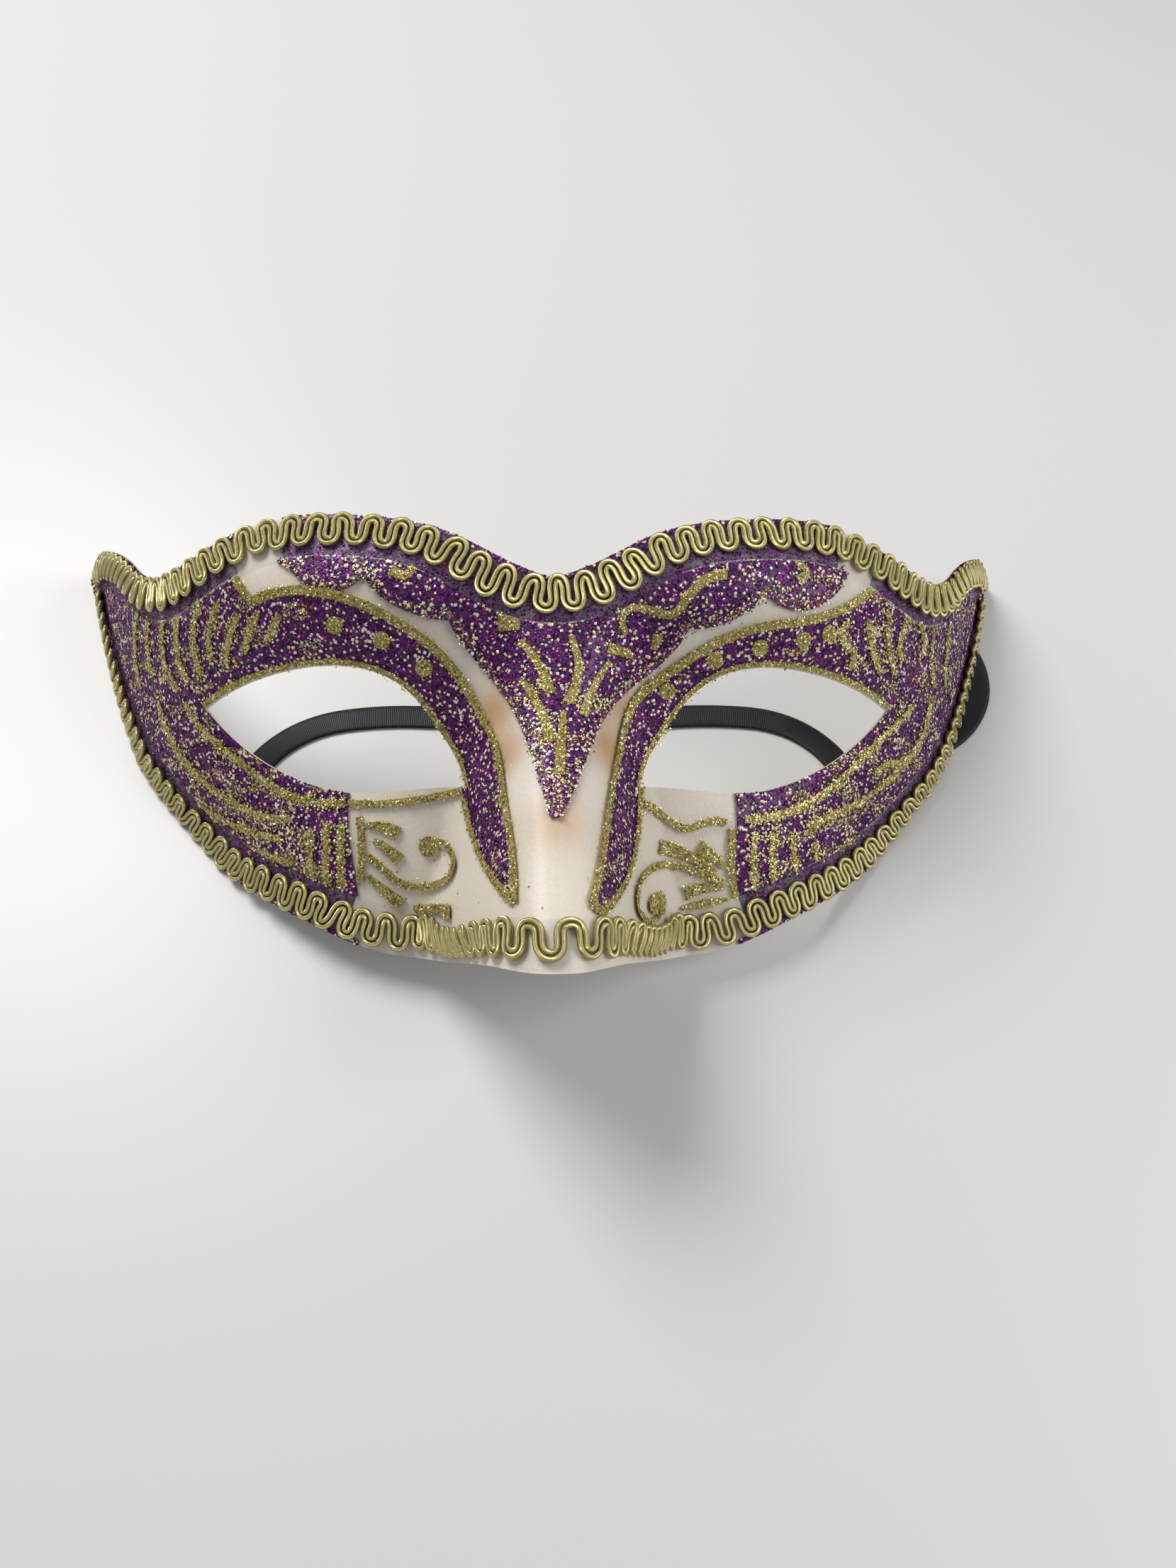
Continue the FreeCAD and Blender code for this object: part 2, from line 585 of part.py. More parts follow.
def corner_radii(points):
    """Radius of the arc at each turn of a route: a share of the shorter run, over the tangent of half the turn."""
    radii = []
    for before, corner, after in zip(points, points[1:], points[2:]):
        turn = (corner - before).getAngle(after - corner)
        shorter = min((corner - before).Length, (after - corner).Length)
        radii.append(ARC_SHARE * shorter / math.tan(turn / 2))
    return radii


def band_edges(points, radii, normal, offset):
    """Edges beside a route of straight runs and tangent arcs, at an offset in the plane of the route."""
    runs = [(end - start).normalize() for start, end in zip(points, points[1:])]
    beside = [normal.cross(run) * offset for run in runs]
    edges, last = [], points[0] + beside[0]
    for i, radius in enumerate(radii):
        corner, turn = points[i + 1], runs[i].getAngle(runs[i + 1])
        reach = radius * math.tan(turn / 2)
        inward = (runs[i + 1] - runs[i]).normalize()
        centre = corner + inward * (radius / math.cos(turn / 2))
        start = corner - runs[i] * reach + beside[i]
        end = corner + runs[i + 1] * reach + beside[i + 1]
        middle = centre + (corner - centre).normalize() * (start - centre).Length
        edges += [Part.LineSegment(last, start).toShape(), Part.Arc(start, middle, end).toShape()]
        last = end
    edges.append(Part.LineSegment(last, points[-1] + beside[-1]).toShape())
    return edges


def band_face(points, radii, normal, half):
    """Flat face along a route, as wide as twice the half."""
    left = band_edges(points, radii, normal, half)
    right = band_edges(points, radii, normal, -half)
    caps = [Part.LineSegment(a.valueAt(a.ParameterRange[end]), b.valueAt(b.ParameterRange[end])).toShape()
            for a, b, end in ((left[0], right[0], 0), (left[-1], right[-1], 1))]
    return Part.Face(Part.Wire(Part.__sortEdges__(left + right + caps)))


def ribbon(name, route):
    """A flat ribbon: a lead that comes down from the glue pad, and a strip that lies on the rest plane."""
    level = RIBBON_THICKNESS / 2
    up = Vector(0, 0, 1)
    points = [Vector(x, y, level) for x, y in route]
    run = (points[1] - points[0]).normalize()
    exit_point = points[0] - run * EXIT_REACH + up * (EXIT_HEIGHT - level)
    landing = (points[0] + points[1]) / 2
    bend = corner_radii([exit_point] + points[:2])
    across = up.cross(run)
    lead = band_face([exit_point, points[0], landing], bend, across, level)
    lead.translate(-across * (RIBBON_WIDTH / 2))
    radii = corner_radii(points)
    strip = band_face([landing] + points[1:], radii, up, RIBBON_WIDTH / 2)
    strip.translate(-up * level)
    solid = lead.extrude(across * RIBBON_WIDTH).fuse(strip.extrude(up * RIBBON_THICKNESS)).removeSplitter()
    length = solid.Volume / (RIBBON_WIDTH * RIBBON_THICKNESS)
    print(name, "length", round(length, 1), "mm, bends", [round(radius, 1) for radius in bend + radii])
    return solid


def ribbons(nodes):
    """Adds each ribbon and the glue pad that holds it inside a temple."""
    pad_sheet = slab(-WALL - PAD_THICKNESS, -WALL).cut(rest_trim(SKIN_LIFT))
    for name, side, route in (("right_ribbon", 1, RIGHT_ROUTE), ("left_ribbon", -1, LEFT_ROUTE)):
        across, up = PAD_PLACE
        centre = placed([(side * across, up)])[0]
        pads = layer(dot(centre, PAD_RADIUS), pad_sheet)
        for pad in pads:
            pad.rotate(Vector(0, 0, 0), Vector(1, 0, 0), REST_TILT)
            pad.translate(-origin)
        nodes[name + "_glue"] = pads
        nodes[name] = ribbon(name, route).cut(pads).Solids


def footprint_middle(nodes):
    """Middle of the footprint of every solid, on the rest plane."""
    box = Part.makeCompound([solid for solids in nodes.values() for solid in solids]).optimalBoundingBox(True, False)
    return Vector(0, (box.YMin + box.YMax) / 2, 0)


os.makedirs("parts", exist_ok=True)
mask = build_mask()
origin = footprint_middle(mask)
for solids in mask.values():
    for solid in solids:
        solid.translate(-origin)
ribbons(mask)
for node, solids in mask.items():
    Part.makeCompound(solids).exportStep("parts/" + node + ".step")
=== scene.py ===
import math

import bmesh
import bpy
import numpy as np
from mathutils import Matrix, Vector


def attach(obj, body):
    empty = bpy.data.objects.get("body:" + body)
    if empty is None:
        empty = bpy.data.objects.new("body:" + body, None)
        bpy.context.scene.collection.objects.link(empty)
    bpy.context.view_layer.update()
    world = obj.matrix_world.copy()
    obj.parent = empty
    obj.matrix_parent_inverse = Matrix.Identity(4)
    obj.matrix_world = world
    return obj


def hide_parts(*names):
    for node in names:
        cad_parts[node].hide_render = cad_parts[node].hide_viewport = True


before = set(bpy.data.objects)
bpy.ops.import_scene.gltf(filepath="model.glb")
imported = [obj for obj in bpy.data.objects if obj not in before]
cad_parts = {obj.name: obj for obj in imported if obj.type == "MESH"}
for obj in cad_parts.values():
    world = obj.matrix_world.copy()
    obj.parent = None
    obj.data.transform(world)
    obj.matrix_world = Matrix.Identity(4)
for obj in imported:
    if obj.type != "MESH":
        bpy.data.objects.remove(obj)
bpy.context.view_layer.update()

# A masquerade half mask lying face up. Lengths are in millimetres until a mesh is made, and MM turns them
# into metres. Face coordinates are x across, y up the face and z out of it, before the face leans back.
MM = 0.001
SEED = 20

# Shell, with the driving sizes of the solids
HALF_WIDTH = 90.0
WALL = 1.2
REST_TILT = math.radians(33.0)
CROWN_DEPTH = 30.5
FACE_LEAN = 0.16
CHEEK_DROP = 22.8
TEMPLE_DROP = 41.2
TUCK_DEPTH = 4.0
TUCK_ACROSS = (34.0, 58.0)
TUCK_UP = (6.0, -12.0)
FOREHEAD_START = 28.0
FOREHEAD_BACK = 5.0
FOREHEAD_RUN = 15.0
NOSE_HEIGHT = 33.4
NOSE_HALF_BREADTH = 22.0
NOSE_FULLNESS = 1.225
NOSE_RISE = [(-40, 1.12), (-24.5, 1.0), (-10, 0.69), (0, 0.464), (10, 0.266), (20, 0.138), (30, 0.048), (42, 0)]
NOSE_SPREAD = [(-40, 1.07), (-24.5, 1.0), (-10, 0.84), (0, 0.75), (10, 0.68), (20, 0.68), (30, 0.77), (42, 0.91)]
BROW_SWELL = (3.0, 31.0, 29.0, 22.0, 9.0)
EYE_HOLLOW = (-3.5, 36.0, 7.0, 18.0, 11.0)

# Edges of the right half in hundredths of HALF_WIDTH across and millimetres up, from the middle outwards
TOP_EDGE = [(0, 31.7), (4.4, 32.3), (9.5, 34.5), (16.7, 38.0), (24.4, 40.2), (33.3, 41.4), (42.2, 41.9),
            (51, 41.3), (59, 39.0), (66.7, 36.2), (72.8, 34.8), (78.3, 36.3), (83.3, 39.9), (89, 42.7),
            (94.5, 43.9), (98.4, 42.4), (100.0, 40.6)]
LOWER_RIM = [(0, -24.8), (4.5, -24.8), (10, -25.0), (19, -27.3), (31, -26.8), (44.4, -22.2), (60, -16.0)]
SIDE_STATIONS = (-4.0, 3.0, 10.0, 17.0, 24.0, 31.0, 38.0)

# Braid: two metallic cords side by side, laid in waves along each band
FILM_THICKNESS = 0.3
FILM_WIDTH = 7.0
UPPER_INSET = [(0, 0.0), (12, 0.0), (25, -0.3), (45, -0.3), (60, -0.6), (92, -0.7)]
LOWER_INSET = [(0, 1.0), (14, 0.8), (30, 0.2), (45, -0.2), (105, -0.2)]
CORD_RADIUS = 0.44
CORD_GAP = 0.47
CORD_SIDES = 7
WAVE_REACH = 2.2
WAVE_BULGE = 0.4
USUAL_PITCH = 4.4
BUNCHED_PITCH = (3.9, 3.0)
BUNCH_SQUEEZE = 0.22
BUNCH_LIFT = (0.1, 0.7)
BUNCH_PHASE = 0.6
PITCH_WANDER = 0.1
REACH_WANDER = 0.07
LEAN_WANDER = 0.16
BAND_END = 0.6
FINE_STEP = 0.02
RINGS_PER_WAVE = 44
UPPER_PITCH = [(-105, 3.0), (-84, 3.3), (-74, 3.7), (-60, 4.1), (-25, 4.5), (0, 4.3), (25, 4.4), (50, 4.1),
               (62, 3.6), (74, 3.3), (86, 3.1), (105, 3.0)]
LOWER_PITCH = [(-150, 3.0), (-120, 3.3), (-90, 3.8), (-56, 4.1), (-40, 3.8), (-30, 2.9), (-22, 2.9), (-14, 4.2),
               (-5, 5.0), (5, 5.0), (13, 3.6), (20, 2.9), (34, 2.9), (42, 3.9), (60, 4.1), (90, 3.8), (120, 3.3),
               (150, 3.0)]

# Ribbons, in millimetres on the rest plane
RIBBON_WIDTH = 5.0
RIBBON_THICKNESS = 0.4
RIBBON_COLUMNS = 9
THREAD_PITCH = 0.35
EXIT_HEIGHT = 6.0
EXIT_REACH = 6.4
RIGHT_ROUTE = [(71.4, 9.2), (79.0, 14.3), (84.0, 23.1), (83.8, 33.2), (77.2, 41.8), (67.0, 46.6),
               (53.0, 49.4), (34.0, 50.9), (14.9, 49.7), (4.9, 40.1), (4.9, 25.9), (14.9, 15.9), (30.0, 17.4),
               (45.1, 15.9), (55.1, 5.9), (55.1, -8.3), (45.1, -18.3), (30.8, -19.6), (17.8, -23.8)]
LEFT_ROUTE = [(-69.0, 13.6), (-72.4, 23.0), (-70.6, 33.2), (-63.0, 41.5), (-50.0, 47.2),
              (-33.0, 51.2), (-14.9, 50.6), (-4.7, 40.4), (-4.9, 26.2), (-15.1, 16.0), (-30.4, 17.0),
              (-45.3, 14.4), (-54.9, 3.9), (-54.3, -10.4), (-43.9, -20.2), (-29.7, -21.6), (-16.9, -26.0)]

# Camera, in metres from the shell's own middle: the photograph's place and lens
CAMERA_PLACE = (-0.0032, -0.1165, 0.1795)
CAMERA_RIGHT = (0.9989, -0.0258, 0.0398)
CAMERA_FORWARD = (0.0475, 0.5440, -0.8378)
LENS = 27.03


# Face surface

def through(stations, at):
    """Values on smooth cubic pieces through (place, value) stations: Hermite cubics whose slope at a station is
    the mean of the slopes on both sides of it."""
    places, values = np.array(stations, float).T
    rates = np.diff(values) / np.diff(places)
    slopes = np.concatenate([rates[:1], (rates[:-1] + rates[1:]) / 2, rates[-1:]])
    at = np.clip(at, places[0], places[-1])
    i = np.clip(np.searchsorted(places, at) - 1, 0, len(places) - 2)
    span = places[i + 1] - places[i]
    t = (at - places[i]) / span
    start = (2 * t ** 3 - 3 * t ** 2 + 1) * values[i] + (t ** 3 - 2 * t ** 2 + t) * span * slopes[i]
    return start + (3 * t ** 2 - 2 * t ** 3) * values[i + 1] + (t ** 3 - t ** 2) * span * slopes[i + 1]


def ease(first, last, at):
    """Smooth step from 0 at the first place to 1 at the last."""
    t = np.clip((at - first) / (last - first), 0, 1)
    return t * t * (3 - 2 * t)


def swell(form, side, y):
    """A soft round rise: height times a bell curve across and up."""
    height, across, up, reach_across, reach_up = form
    return height * np.exp(-((side - across) / reach_across) ** 2 - ((y - up) / reach_up) ** 2)


def face_depth(x, y):
    """Height of the outer face: a wrapped face of second and fourth powers across, plus a nose whose section is a
    squared cosine, plus brow swells, less the eye hollows, the forehead's fall and the tuck of the cheeks."""
    side = np.abs(x)
    share = side / HALF_WIDTH
    depth = CROWN_DEPTH + FACE_LEAN * y - CHEEK_DROP * share ** 2 - TEMPLE_DROP * share ** 4
    crest = np.minimum(side / (NOSE_HALF_BREADTH * through(NOSE_SPREAD, y)), 1) ** NOSE_FULLNESS
    depth += NOSE_HEIGHT * through(NOSE_RISE, y) * np.cos(np.pi / 2 * crest) ** 2
    depth += swell(BROW_SWELL, side, y) + swell(EYE_HOLLOW, side, y)
    depth -= FOREHEAD_BACK * (np.maximum(y - FOREHEAD_START, 0) / FOREHEAD_RUN) ** 2 * np.maximum(1 - share ** 2, 0)
    return depth - TUCK_DEPTH * ease(*TUCK_ACROSS, side) * ease(*TUCK_UP, y)


def face_slope(x, y, step=0.05):
    """Slopes across and up, from small steps either way."""
    across = (face_depth(x + step, y) - face_depth(x - step, y)) / (2 * step)
    up = (face_depth(x, y + step) - face_depth(x, y - step)) / (2 * step)
    return across, up


def turned(directions, tilt=REST_TILT):
    """Directions on the face turned back by the rest tilt about X, or by another one."""
    c, s = math.cos(tilt), math.sin(tilt)
    return directions @ np.array([[1, 0, 0], [0, c, s], [0, -s, c]])


def unit(vectors):
    return vectors / np.linalg.norm(vectors, axis=-1, keepdims=True)


def face_normal(x, y):
    across, up = face_slope(x, y)
    return unit(np.stack([-across, -up, np.ones_like(across)], -1))


def on_face(x, y, lift):
    """Points at a distance from the outer face along its normal, in face coordinates."""
    return np.stack([x, y, face_depth(x, y)], -1) + face_normal(x, y) * np.asarray(lift)[..., None]


def corner_places(mesh):
    """Places of a mesh's corners, in metres in the frame."""
    places = np.empty(len(mesh.vertices) * 3)
    mesh.vertices.foreach_get("co", places)
    return places.reshape(-1, 3)


def centring_shift(rounds=6):
    """How far up the frame the shell was moved to centre its footprint, in millimetres: least squares, over the
    corners that lie on the outer face, of their distance from the face against its change with the shift."""
    places = corner_places(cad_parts["mask_shell"].data) / MM
    shift = 0.0
    for _ in range(rounds):
        x, y, z = turned(places - (0, shift, 0), -REST_TILT).T
        normal = face_normal(x, y)
        off = (z - face_depth(x, y)) * normal[:, 2]
        rate = turned(normal)[:, 1]
        outer = np.abs(off) < WALL / 2
        shift += (off * rate)[outer].sum() / (rate[outer] ** 2).sum()
    return shift


SHIFT = np.array([0, centring_shift(), 0])


def leaned(points):
    """Face coordinates as places in the frame, in metres."""
    return (turned(points) + SHIFT) * MM


def upright(places):
    """Places in the frame, in metres, as face coordinates."""
    return turned(places / MM - SHIFT, -REST_TILT)


# Paths on the face

def placed(points):
    return np.array([(HALF_WIDTH * across / 100, up) for across, up in points])


def smooth_line(points, count):
    """Even places along the smooth cubic line through flat points, by its distance along the chords."""
    along = np.concatenate([[0], np.cumsum(np.linalg.norm(np.diff(points, axis=0), axis=1))])
    at = np.linspace(0, along[-1], count)
    return np.stack([through(np.stack([along, points[:, k]], 1), at) for k in (0, 1)], 1)


def stretch_on_face(points, direction):
    """How much longer a step in a flat direction is on the curved face."""
    across, up = face_slope(points[:, 0], points[:, 1])
    return np.sqrt(1 + (across * direction[:, 0] + up * direction[:, 1]) ** 2)


def inset(line, distance):
    """The line moved to its right by distances on the face, with the flat direction to its left."""
    ahead = unit(np.gradient(line, axis=0))
    left = np.stack([-ahead[:, 1], ahead[:, 0]], 1)
    half_way = line - left * (distance / stretch_on_face(line, left) / 2)[:, None]
    return line - left * (distance / stretch_on_face(half_way, left))[:, None], left


def side_edge_across(y, between=(0.5, 1.1), halvings=30):
    """Where the outer face meets the rest plane at heights up the face, by halving the interval."""
    near, far = (np.full_like(y, share * HALF_WIDTH) for share in between)
    for _ in range(halvings):
        middle = (near + far) / 2
        above = y * math.sin(REST_TILT) + face_depth(middle, y) * math.cos(REST_TILT) > 0
        near, far = np.where(above, middle, near), np.where(above, far, middle)
    return near


def both_halves(right, softened=9, reach=12):
    """A line from left to right through the middle, from its right half, with the bend there softened by a
    running mean."""
    whole = np.concatenate([(right * (-1, 1))[::-1], right])
    padded = np.concatenate([np.repeat(whole[:1], softened, 0), whole, np.repeat(whole[-1:], softened, 0)])
    sums = np.cumsum(padded, axis=0)
    mean = (sums[2 * softened:] - np.concatenate([np.zeros((1, 2)), sums[:-2 * softened - 1]])) / (2 * softened + 1)
    near_middle = np.exp(-(whole[:, :1] / reach) ** 2)
    return whole * (1 - near_middle) + mean * near_middle


def braid_lines(top_count=400, bottom_count=600, middle_gap=0.15):
    """Middle line of each band from left to right, with the flat direction towards the shell's edge."""
    stations = np.array(SIDE_STATIONS)
    top = smooth_line(placed(TOP_EDGE), top_count)
    side = np.stack([side_edge_across(stations), stations], 1)
    bottom = smooth_line(np.concatenate([placed(LOWER_RIM), side]), bottom_count)
    lines = []
    for edge, turn, insets in ((top, 1, UPPER_INSET), (bottom, -1, LOWER_INSET)):
        distance = through(insets, edge[:, 0]) + FILM_WIDTH / 2
        middle, left = inset(edge, turn * distance)
        kept = middle[:, 0] > middle_gap
        lines.append((both_halves(middle[kept]), both_halves(left[kept] * turn)))
    return lines


# Meshes

def add_piece(name, vertices, faces, material, replaced=(), smooth=True, uv=None):
    """A mesh piece from places in metres and faces as lists of corner numbers, that rides on the mask."""
    mesh = bpy.data.meshes.new(name)
    mesh.from_pydata(np.asarray(vertices, float), [], faces)
    mesh.polygons.foreach_set("use_smooth", np.full(len(mesh.polygons), smooth))
    mesh.materials.append(material)
    if uv is not None:
        write_uv(mesh, uv)
    mesh.update()
    piece = bpy.data.objects.new(name, mesh)
    bpy.context.scene.collection.objects.link(piece)
    return settle(piece, replaced)


def settle(piece, replaced=()):
    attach(piece, "root")
    if replaced:
        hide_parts(*replaced)
    return piece


def grid_faces(rows, columns, wrap_columns):
    """Corner numbers of the quads of a grid of points, closed round its columns if asked."""
    i = np.arange(rows - 1)[:, None]
    j = np.arange(columns if wrap_columns else columns - 1)[None, :]
    k = (j + 1) % columns
    return np.stack([i * columns + j, i * columns + k, (i + 1) * columns + k, (i + 1) * columns + j], -1).reshape(-1, 4)


def write_uv(mesh, uv):
    """UV map from one coordinate pair per vertex."""
    corners = np.empty(len(mesh.loops), int)
    mesh.loops.foreach_get("vertex_index", corners)
    layer = mesh.uv_layers.new(name="UVMap")
    layer.data.foreach_set("uv", np.asarray(uv, float)[corners].ravel())


# Materials

def new_material(name):
    """A material with its node tree, that tree's links and its shader."""
    material = bpy.data.materials.new(name)
    material.use_nodes = True
    tree = material.node_tree
    return material, tree, tree.links, tree.nodes["Principled BSDF"]


def add_node(tree, kind, **values):
    """A node with its named properties and input values set."""
    node = tree.nodes.new(kind)
    for key, value in values.items():
        if hasattr(node, key):
            setattr(node, key, value)
        else:
            node.inputs[key.replace("_", " ")].default_value = value
    return node


def new_group(name, inputs, outputs):
    """A node group with sockets of the given kinds, and its two end nodes."""
    tree = bpy.data.node_groups.new(name, "ShaderNodeTree")
    for label, kind, value in inputs:
        socket = tree.interface.new_socket(label, in_out="INPUT", socket_type=kind)
        if value is not None:
            socket.default_value = value
    for label, kind in outputs:
        tree.interface.new_socket(label, in_out="OUTPUT", socket_type=kind)
    return tree, tree.nodes.new("NodeGroupInput"), tree.nodes.new("NodeGroupOutput")


def use_group(tree, group, **values):
    """The group placed in a tree with its named values."""
    node = tree.nodes.new("ShaderNodeGroup")
    node.node_tree = group
    for key, value in values.items():
        node.inputs[key.replace("_", " ")].default_value = value
    return node


def mix_colour(tree, factor, a, b, blend="MIX"):
    """Mix of two colours, each a socket or a plain colour; the factor is a socket or a number."""
    node = tree.nodes.new("ShaderNodeMix")
    node.data_type = "RGBA"
    node.blend_type = blend
    for index, value in ((0, factor), (6, a), (7, b)):
        if isinstance(value, bpy.types.NodeSocket):
            tree.links.new(value, node.inputs[index])
        else:
            node.inputs[index].default_value = value
    return node.outputs[2]


def soft_spot_group():
    """Mask that falls smoothly from 1 at a centre to 0 at a reach, with a wavering edge."""
    tree, entry, leave = new_group("soft_spot", [
        ("Centre", "NodeSocketVector", None), ("Reach", "NodeSocketFloat", 0.01), ("Waver", "NodeSocketFloat", 0.002),
    ], [("Mask", "NodeSocketFloat")])
    place = tree.nodes.new("ShaderNodeTexCoord")
    noise = add_node(tree, "ShaderNodeTexNoise", Scale=160.0, Detail=3.0)
    distance = add_node(tree, "ShaderNodeVectorMath", operation="DISTANCE")
    sway = add_node(tree, "ShaderNodeMath", operation="MULTIPLY_ADD")
    fall = add_node(tree, "ShaderNodeMapRange", interpolation_type="SMOOTHERSTEP")
    fall.inputs["To Min"].default_value = 1.0
    fall.inputs["To Max"].default_value = 0.0
    tree.links.new(place.outputs["Object"], noise.inputs["Vector"])
    tree.links.new(place.outputs["Object"], distance.inputs[0])
    tree.links.new(entry.outputs["Centre"], distance.inputs[1])
    tree.links.new(noise.outputs["Fac"], sway.inputs[0])
    tree.links.new(entry.outputs["Waver"], sway.inputs[1])
    tree.links.new(distance.outputs["Value"], sway.inputs[2])
    tree.links.new(sway.outputs["Value"], fall.inputs["Value"])
    tree.links.new(entry.outputs["Reach"], fall.inputs["From Max"])
    tree.links.new(fall.outputs["Result"], leave.inputs["Mask"])
    return tree


def dust_group():
    """Mask of scattered specks: cells of a Voronoi pattern near their centre, thinned by a random share."""
    tree, entry, leave = new_group("dust", [
        ("Scale", "NodeSocketFloat", 900.0), ("Share", "NodeSocketFloat", 0.1), ("Size", "NodeSocketFloat", 0.25),
    ], [("Mask", "NodeSocketFloat"), ("Random", "NodeSocketFloat")])
    place = tree.nodes.new("ShaderNodeTexCoord")
    cells = add_node(tree, "ShaderNodeTexVoronoi")
    near = add_node(tree, "ShaderNodeMath", operation="LESS_THAN")
    split = tree.nodes.new("ShaderNodeSeparateColor")
    rare = add_node(tree, "ShaderNodeMath", operation="LESS_THAN")
    both = add_node(tree, "ShaderNodeMath", operation="MULTIPLY")
    tree.links.new(place.outputs["Object"], cells.inputs["Vector"])
    tree.links.new(entry.outputs["Scale"], cells.inputs["Scale"])
    tree.links.new(cells.outputs["Distance"], near.inputs[0])
    tree.links.new(entry.outputs["Size"], near.inputs[1])
    tree.links.new(cells.outputs["Color"], split.inputs["Color"])
    tree.links.new(split.outputs["Red"], rare.inputs[0])
    tree.links.new(entry.outputs["Share"], rare.inputs[1])
    tree.links.new(near.outputs["Value"], both.inputs[0])
    tree.links.new(rare.outputs["Value"], both.inputs[1])
    tree.links.new(both.outputs["Value"], leave.inputs["Mask"])
    tree.links.new(split.outputs["Green"], leave.inputs["Random"])
    return tree


def grain_group():
    """Fine height of a surface: two noises of the piece's own place, added."""
    tree, entry, leave = new_group("grain", [
        ("Coarse", "NodeSocketFloat", 120.0), ("Fine", "NodeSocketFloat", 900.0), ("Share", "NodeSocketFloat", 0.4),
    ], [("Height", "NodeSocketFloat")])
    place = tree.nodes.new("ShaderNodeTexCoord")
    coarse = add_node(tree, "ShaderNodeTexNoise", Detail=2.0)
    fine = add_node(tree, "ShaderNodeTexNoise", Detail=2.0)
    total = add_node(tree, "ShaderNodeMath", operation="MULTIPLY_ADD")
    for noise, scale in ((coarse, "Coarse"), (fine, "Fine")):
        tree.links.new(place.outputs["Object"], noise.inputs["Vector"])
        tree.links.new(entry.outputs[scale], noise.inputs["Scale"])
    tree.links.new(fine.outputs["Fac"], total.inputs[0])
    tree.links.new(entry.outputs["Share"], total.inputs[1])
    tree.links.new(coarse.outputs["Fac"], total.inputs[2])
    tree.links.new(total.outputs["Value"], leave.inputs["Height"])
    return tree


SOFT_SPOT, DUST, GRAIN = soft_spot_group(), dust_group(), grain_group()


def add_bump(tree, shader, height, strength, distance):
    bump = add_node(tree, "ShaderNodeBump", Strength=strength, Distance=distance)
    tree.links.new(height, bump.inputs["Height"])
    tree.links.new(bump.outputs["Normal"], shader.inputs["Normal"])


# Peach and amber shading on the shell: place across and up the face, reach, and strength
PEACH_SPOTS = [(-9.0, 11.0, 9.5, 1.0), (-7.0, 4.5, 8.0, 0.85), (8.2, 5.5, 9.5, 1.0), (10.0, 12.0, 8.0, 0.8),
               (0.5, -5.0, 9.5, 0.7)]


def pearl_shell():
    """Warm white pearl plastic: soft peach spots, pale cloudy change, dust, and a pearly coat."""
    material, tree, links, shader = new_material("pearl_shell")
    grain = use_group(tree, GRAIN, Coarse=60.0, Fine=1700.0, Share=0.45)
    cloud = add_node(tree, "ShaderNodeMapRange")
    cloud.inputs["From Min"].default_value = 0.4
    cloud.inputs["From Max"].default_value = 0.9
    links.new(grain.outputs["Height"], cloud.inputs["Value"])
    colour = mix_colour(tree, cloud.outputs["Result"], (0.76, 0.67, 0.54, 1), (0.86, 0.78, 0.66, 1))
    for across, up, reach, strength in PEACH_SPOTS:
        spot = use_group(tree, SOFT_SPOT, Reach=reach * MM, Waver=2 * MM)
        spot.inputs["Centre"].default_value = leaned(on_face(np.array(across), np.array(up), 0.0))
        weaker = add_node(tree, "ShaderNodeMath", operation="MULTIPLY")
        weaker.inputs[1].default_value = strength
        links.new(spot.outputs["Mask"], weaker.inputs[0])
        colour = mix_colour(tree, weaker.outputs["Value"], colour, (0.60, 0.36, 0.17, 1))
    specks = use_group(tree, DUST, Scale=1100.0, Share=0.035, Size=0.22)
    tone = add_node(tree, "ShaderNodeValToRGB")
    tone.color_ramp.elements[0].color = (0.30, 0.10, 0.34, 1)
    tone.color_ramp.elements[1].color = (0.90, 0.78, 0.45, 1)
    links.new(specks.outputs["Random"], tone.inputs["Fac"])
    colour = mix_colour(tree, specks.outputs["Mask"], colour, tone.outputs["Color"])
    links.new(colour, shader.inputs["Base Color"])
    shader.inputs["Roughness"].default_value = 0.5
    shader.inputs["Coat Weight"].default_value = 0.25
    shader.inputs["Coat Roughness"].default_value = 0.35
    shader.inputs["Sheen Weight"].default_value = 0.1
    add_bump(tree, shader, grain.outputs["Height"], 0.6, 0.2 * MM)
    return material


def plain_inside():
    """The shell's unpainted inner face: duller plastic with faint flow marks."""
    material, tree, links, shader = new_material("plain_inside")
    grain = use_group(tree, GRAIN, Coarse=35.0, Fine=500.0, Share=0.25)
    colour = mix_colour(tree, grain.outputs["Height"], (0.60, 0.58, 0.54, 1), (0.74, 0.72, 0.69, 1))
    links.new(colour, shader.inputs["Base Color"])
    shader.inputs["Roughness"].default_value = 0.5
    add_bump(tree, shader, grain.outputs["Height"], 0.4, 0.2 * MM)
    return material


def painted_base(name, dark, light):
    """Paint that the flakes are held in."""
    material, tree, links, shader = new_material(name)
    grain = use_group(tree, GRAIN, Coarse=500.0, Fine=2600.0, Share=0.7)
    colour = mix_colour(tree, grain.outputs["Height"], dark, light)
    links.new(colour, shader.inputs["Base Color"])
    shader.inputs["Roughness"].default_value = 0.45
    shader.inputs["Coat Weight"].default_value = 0.3
    add_bump(tree, shader, grain.outputs["Height"], 0.9, 0.25 * MM)
    return material


def flake_foil(name, metallic, roughness):
    """Foil flakes, each in its own colour from the piece's attribute."""
    material, tree, links, shader = new_material(name)
    tint = add_node(tree, "ShaderNodeAttribute", attribute_name="tint")
    links.new(tint.outputs["Color"], shader.inputs["Base Color"])
    shader.inputs["Metallic"].default_value = metallic
    shader.inputs["Roughness"].default_value = roughness
    return material


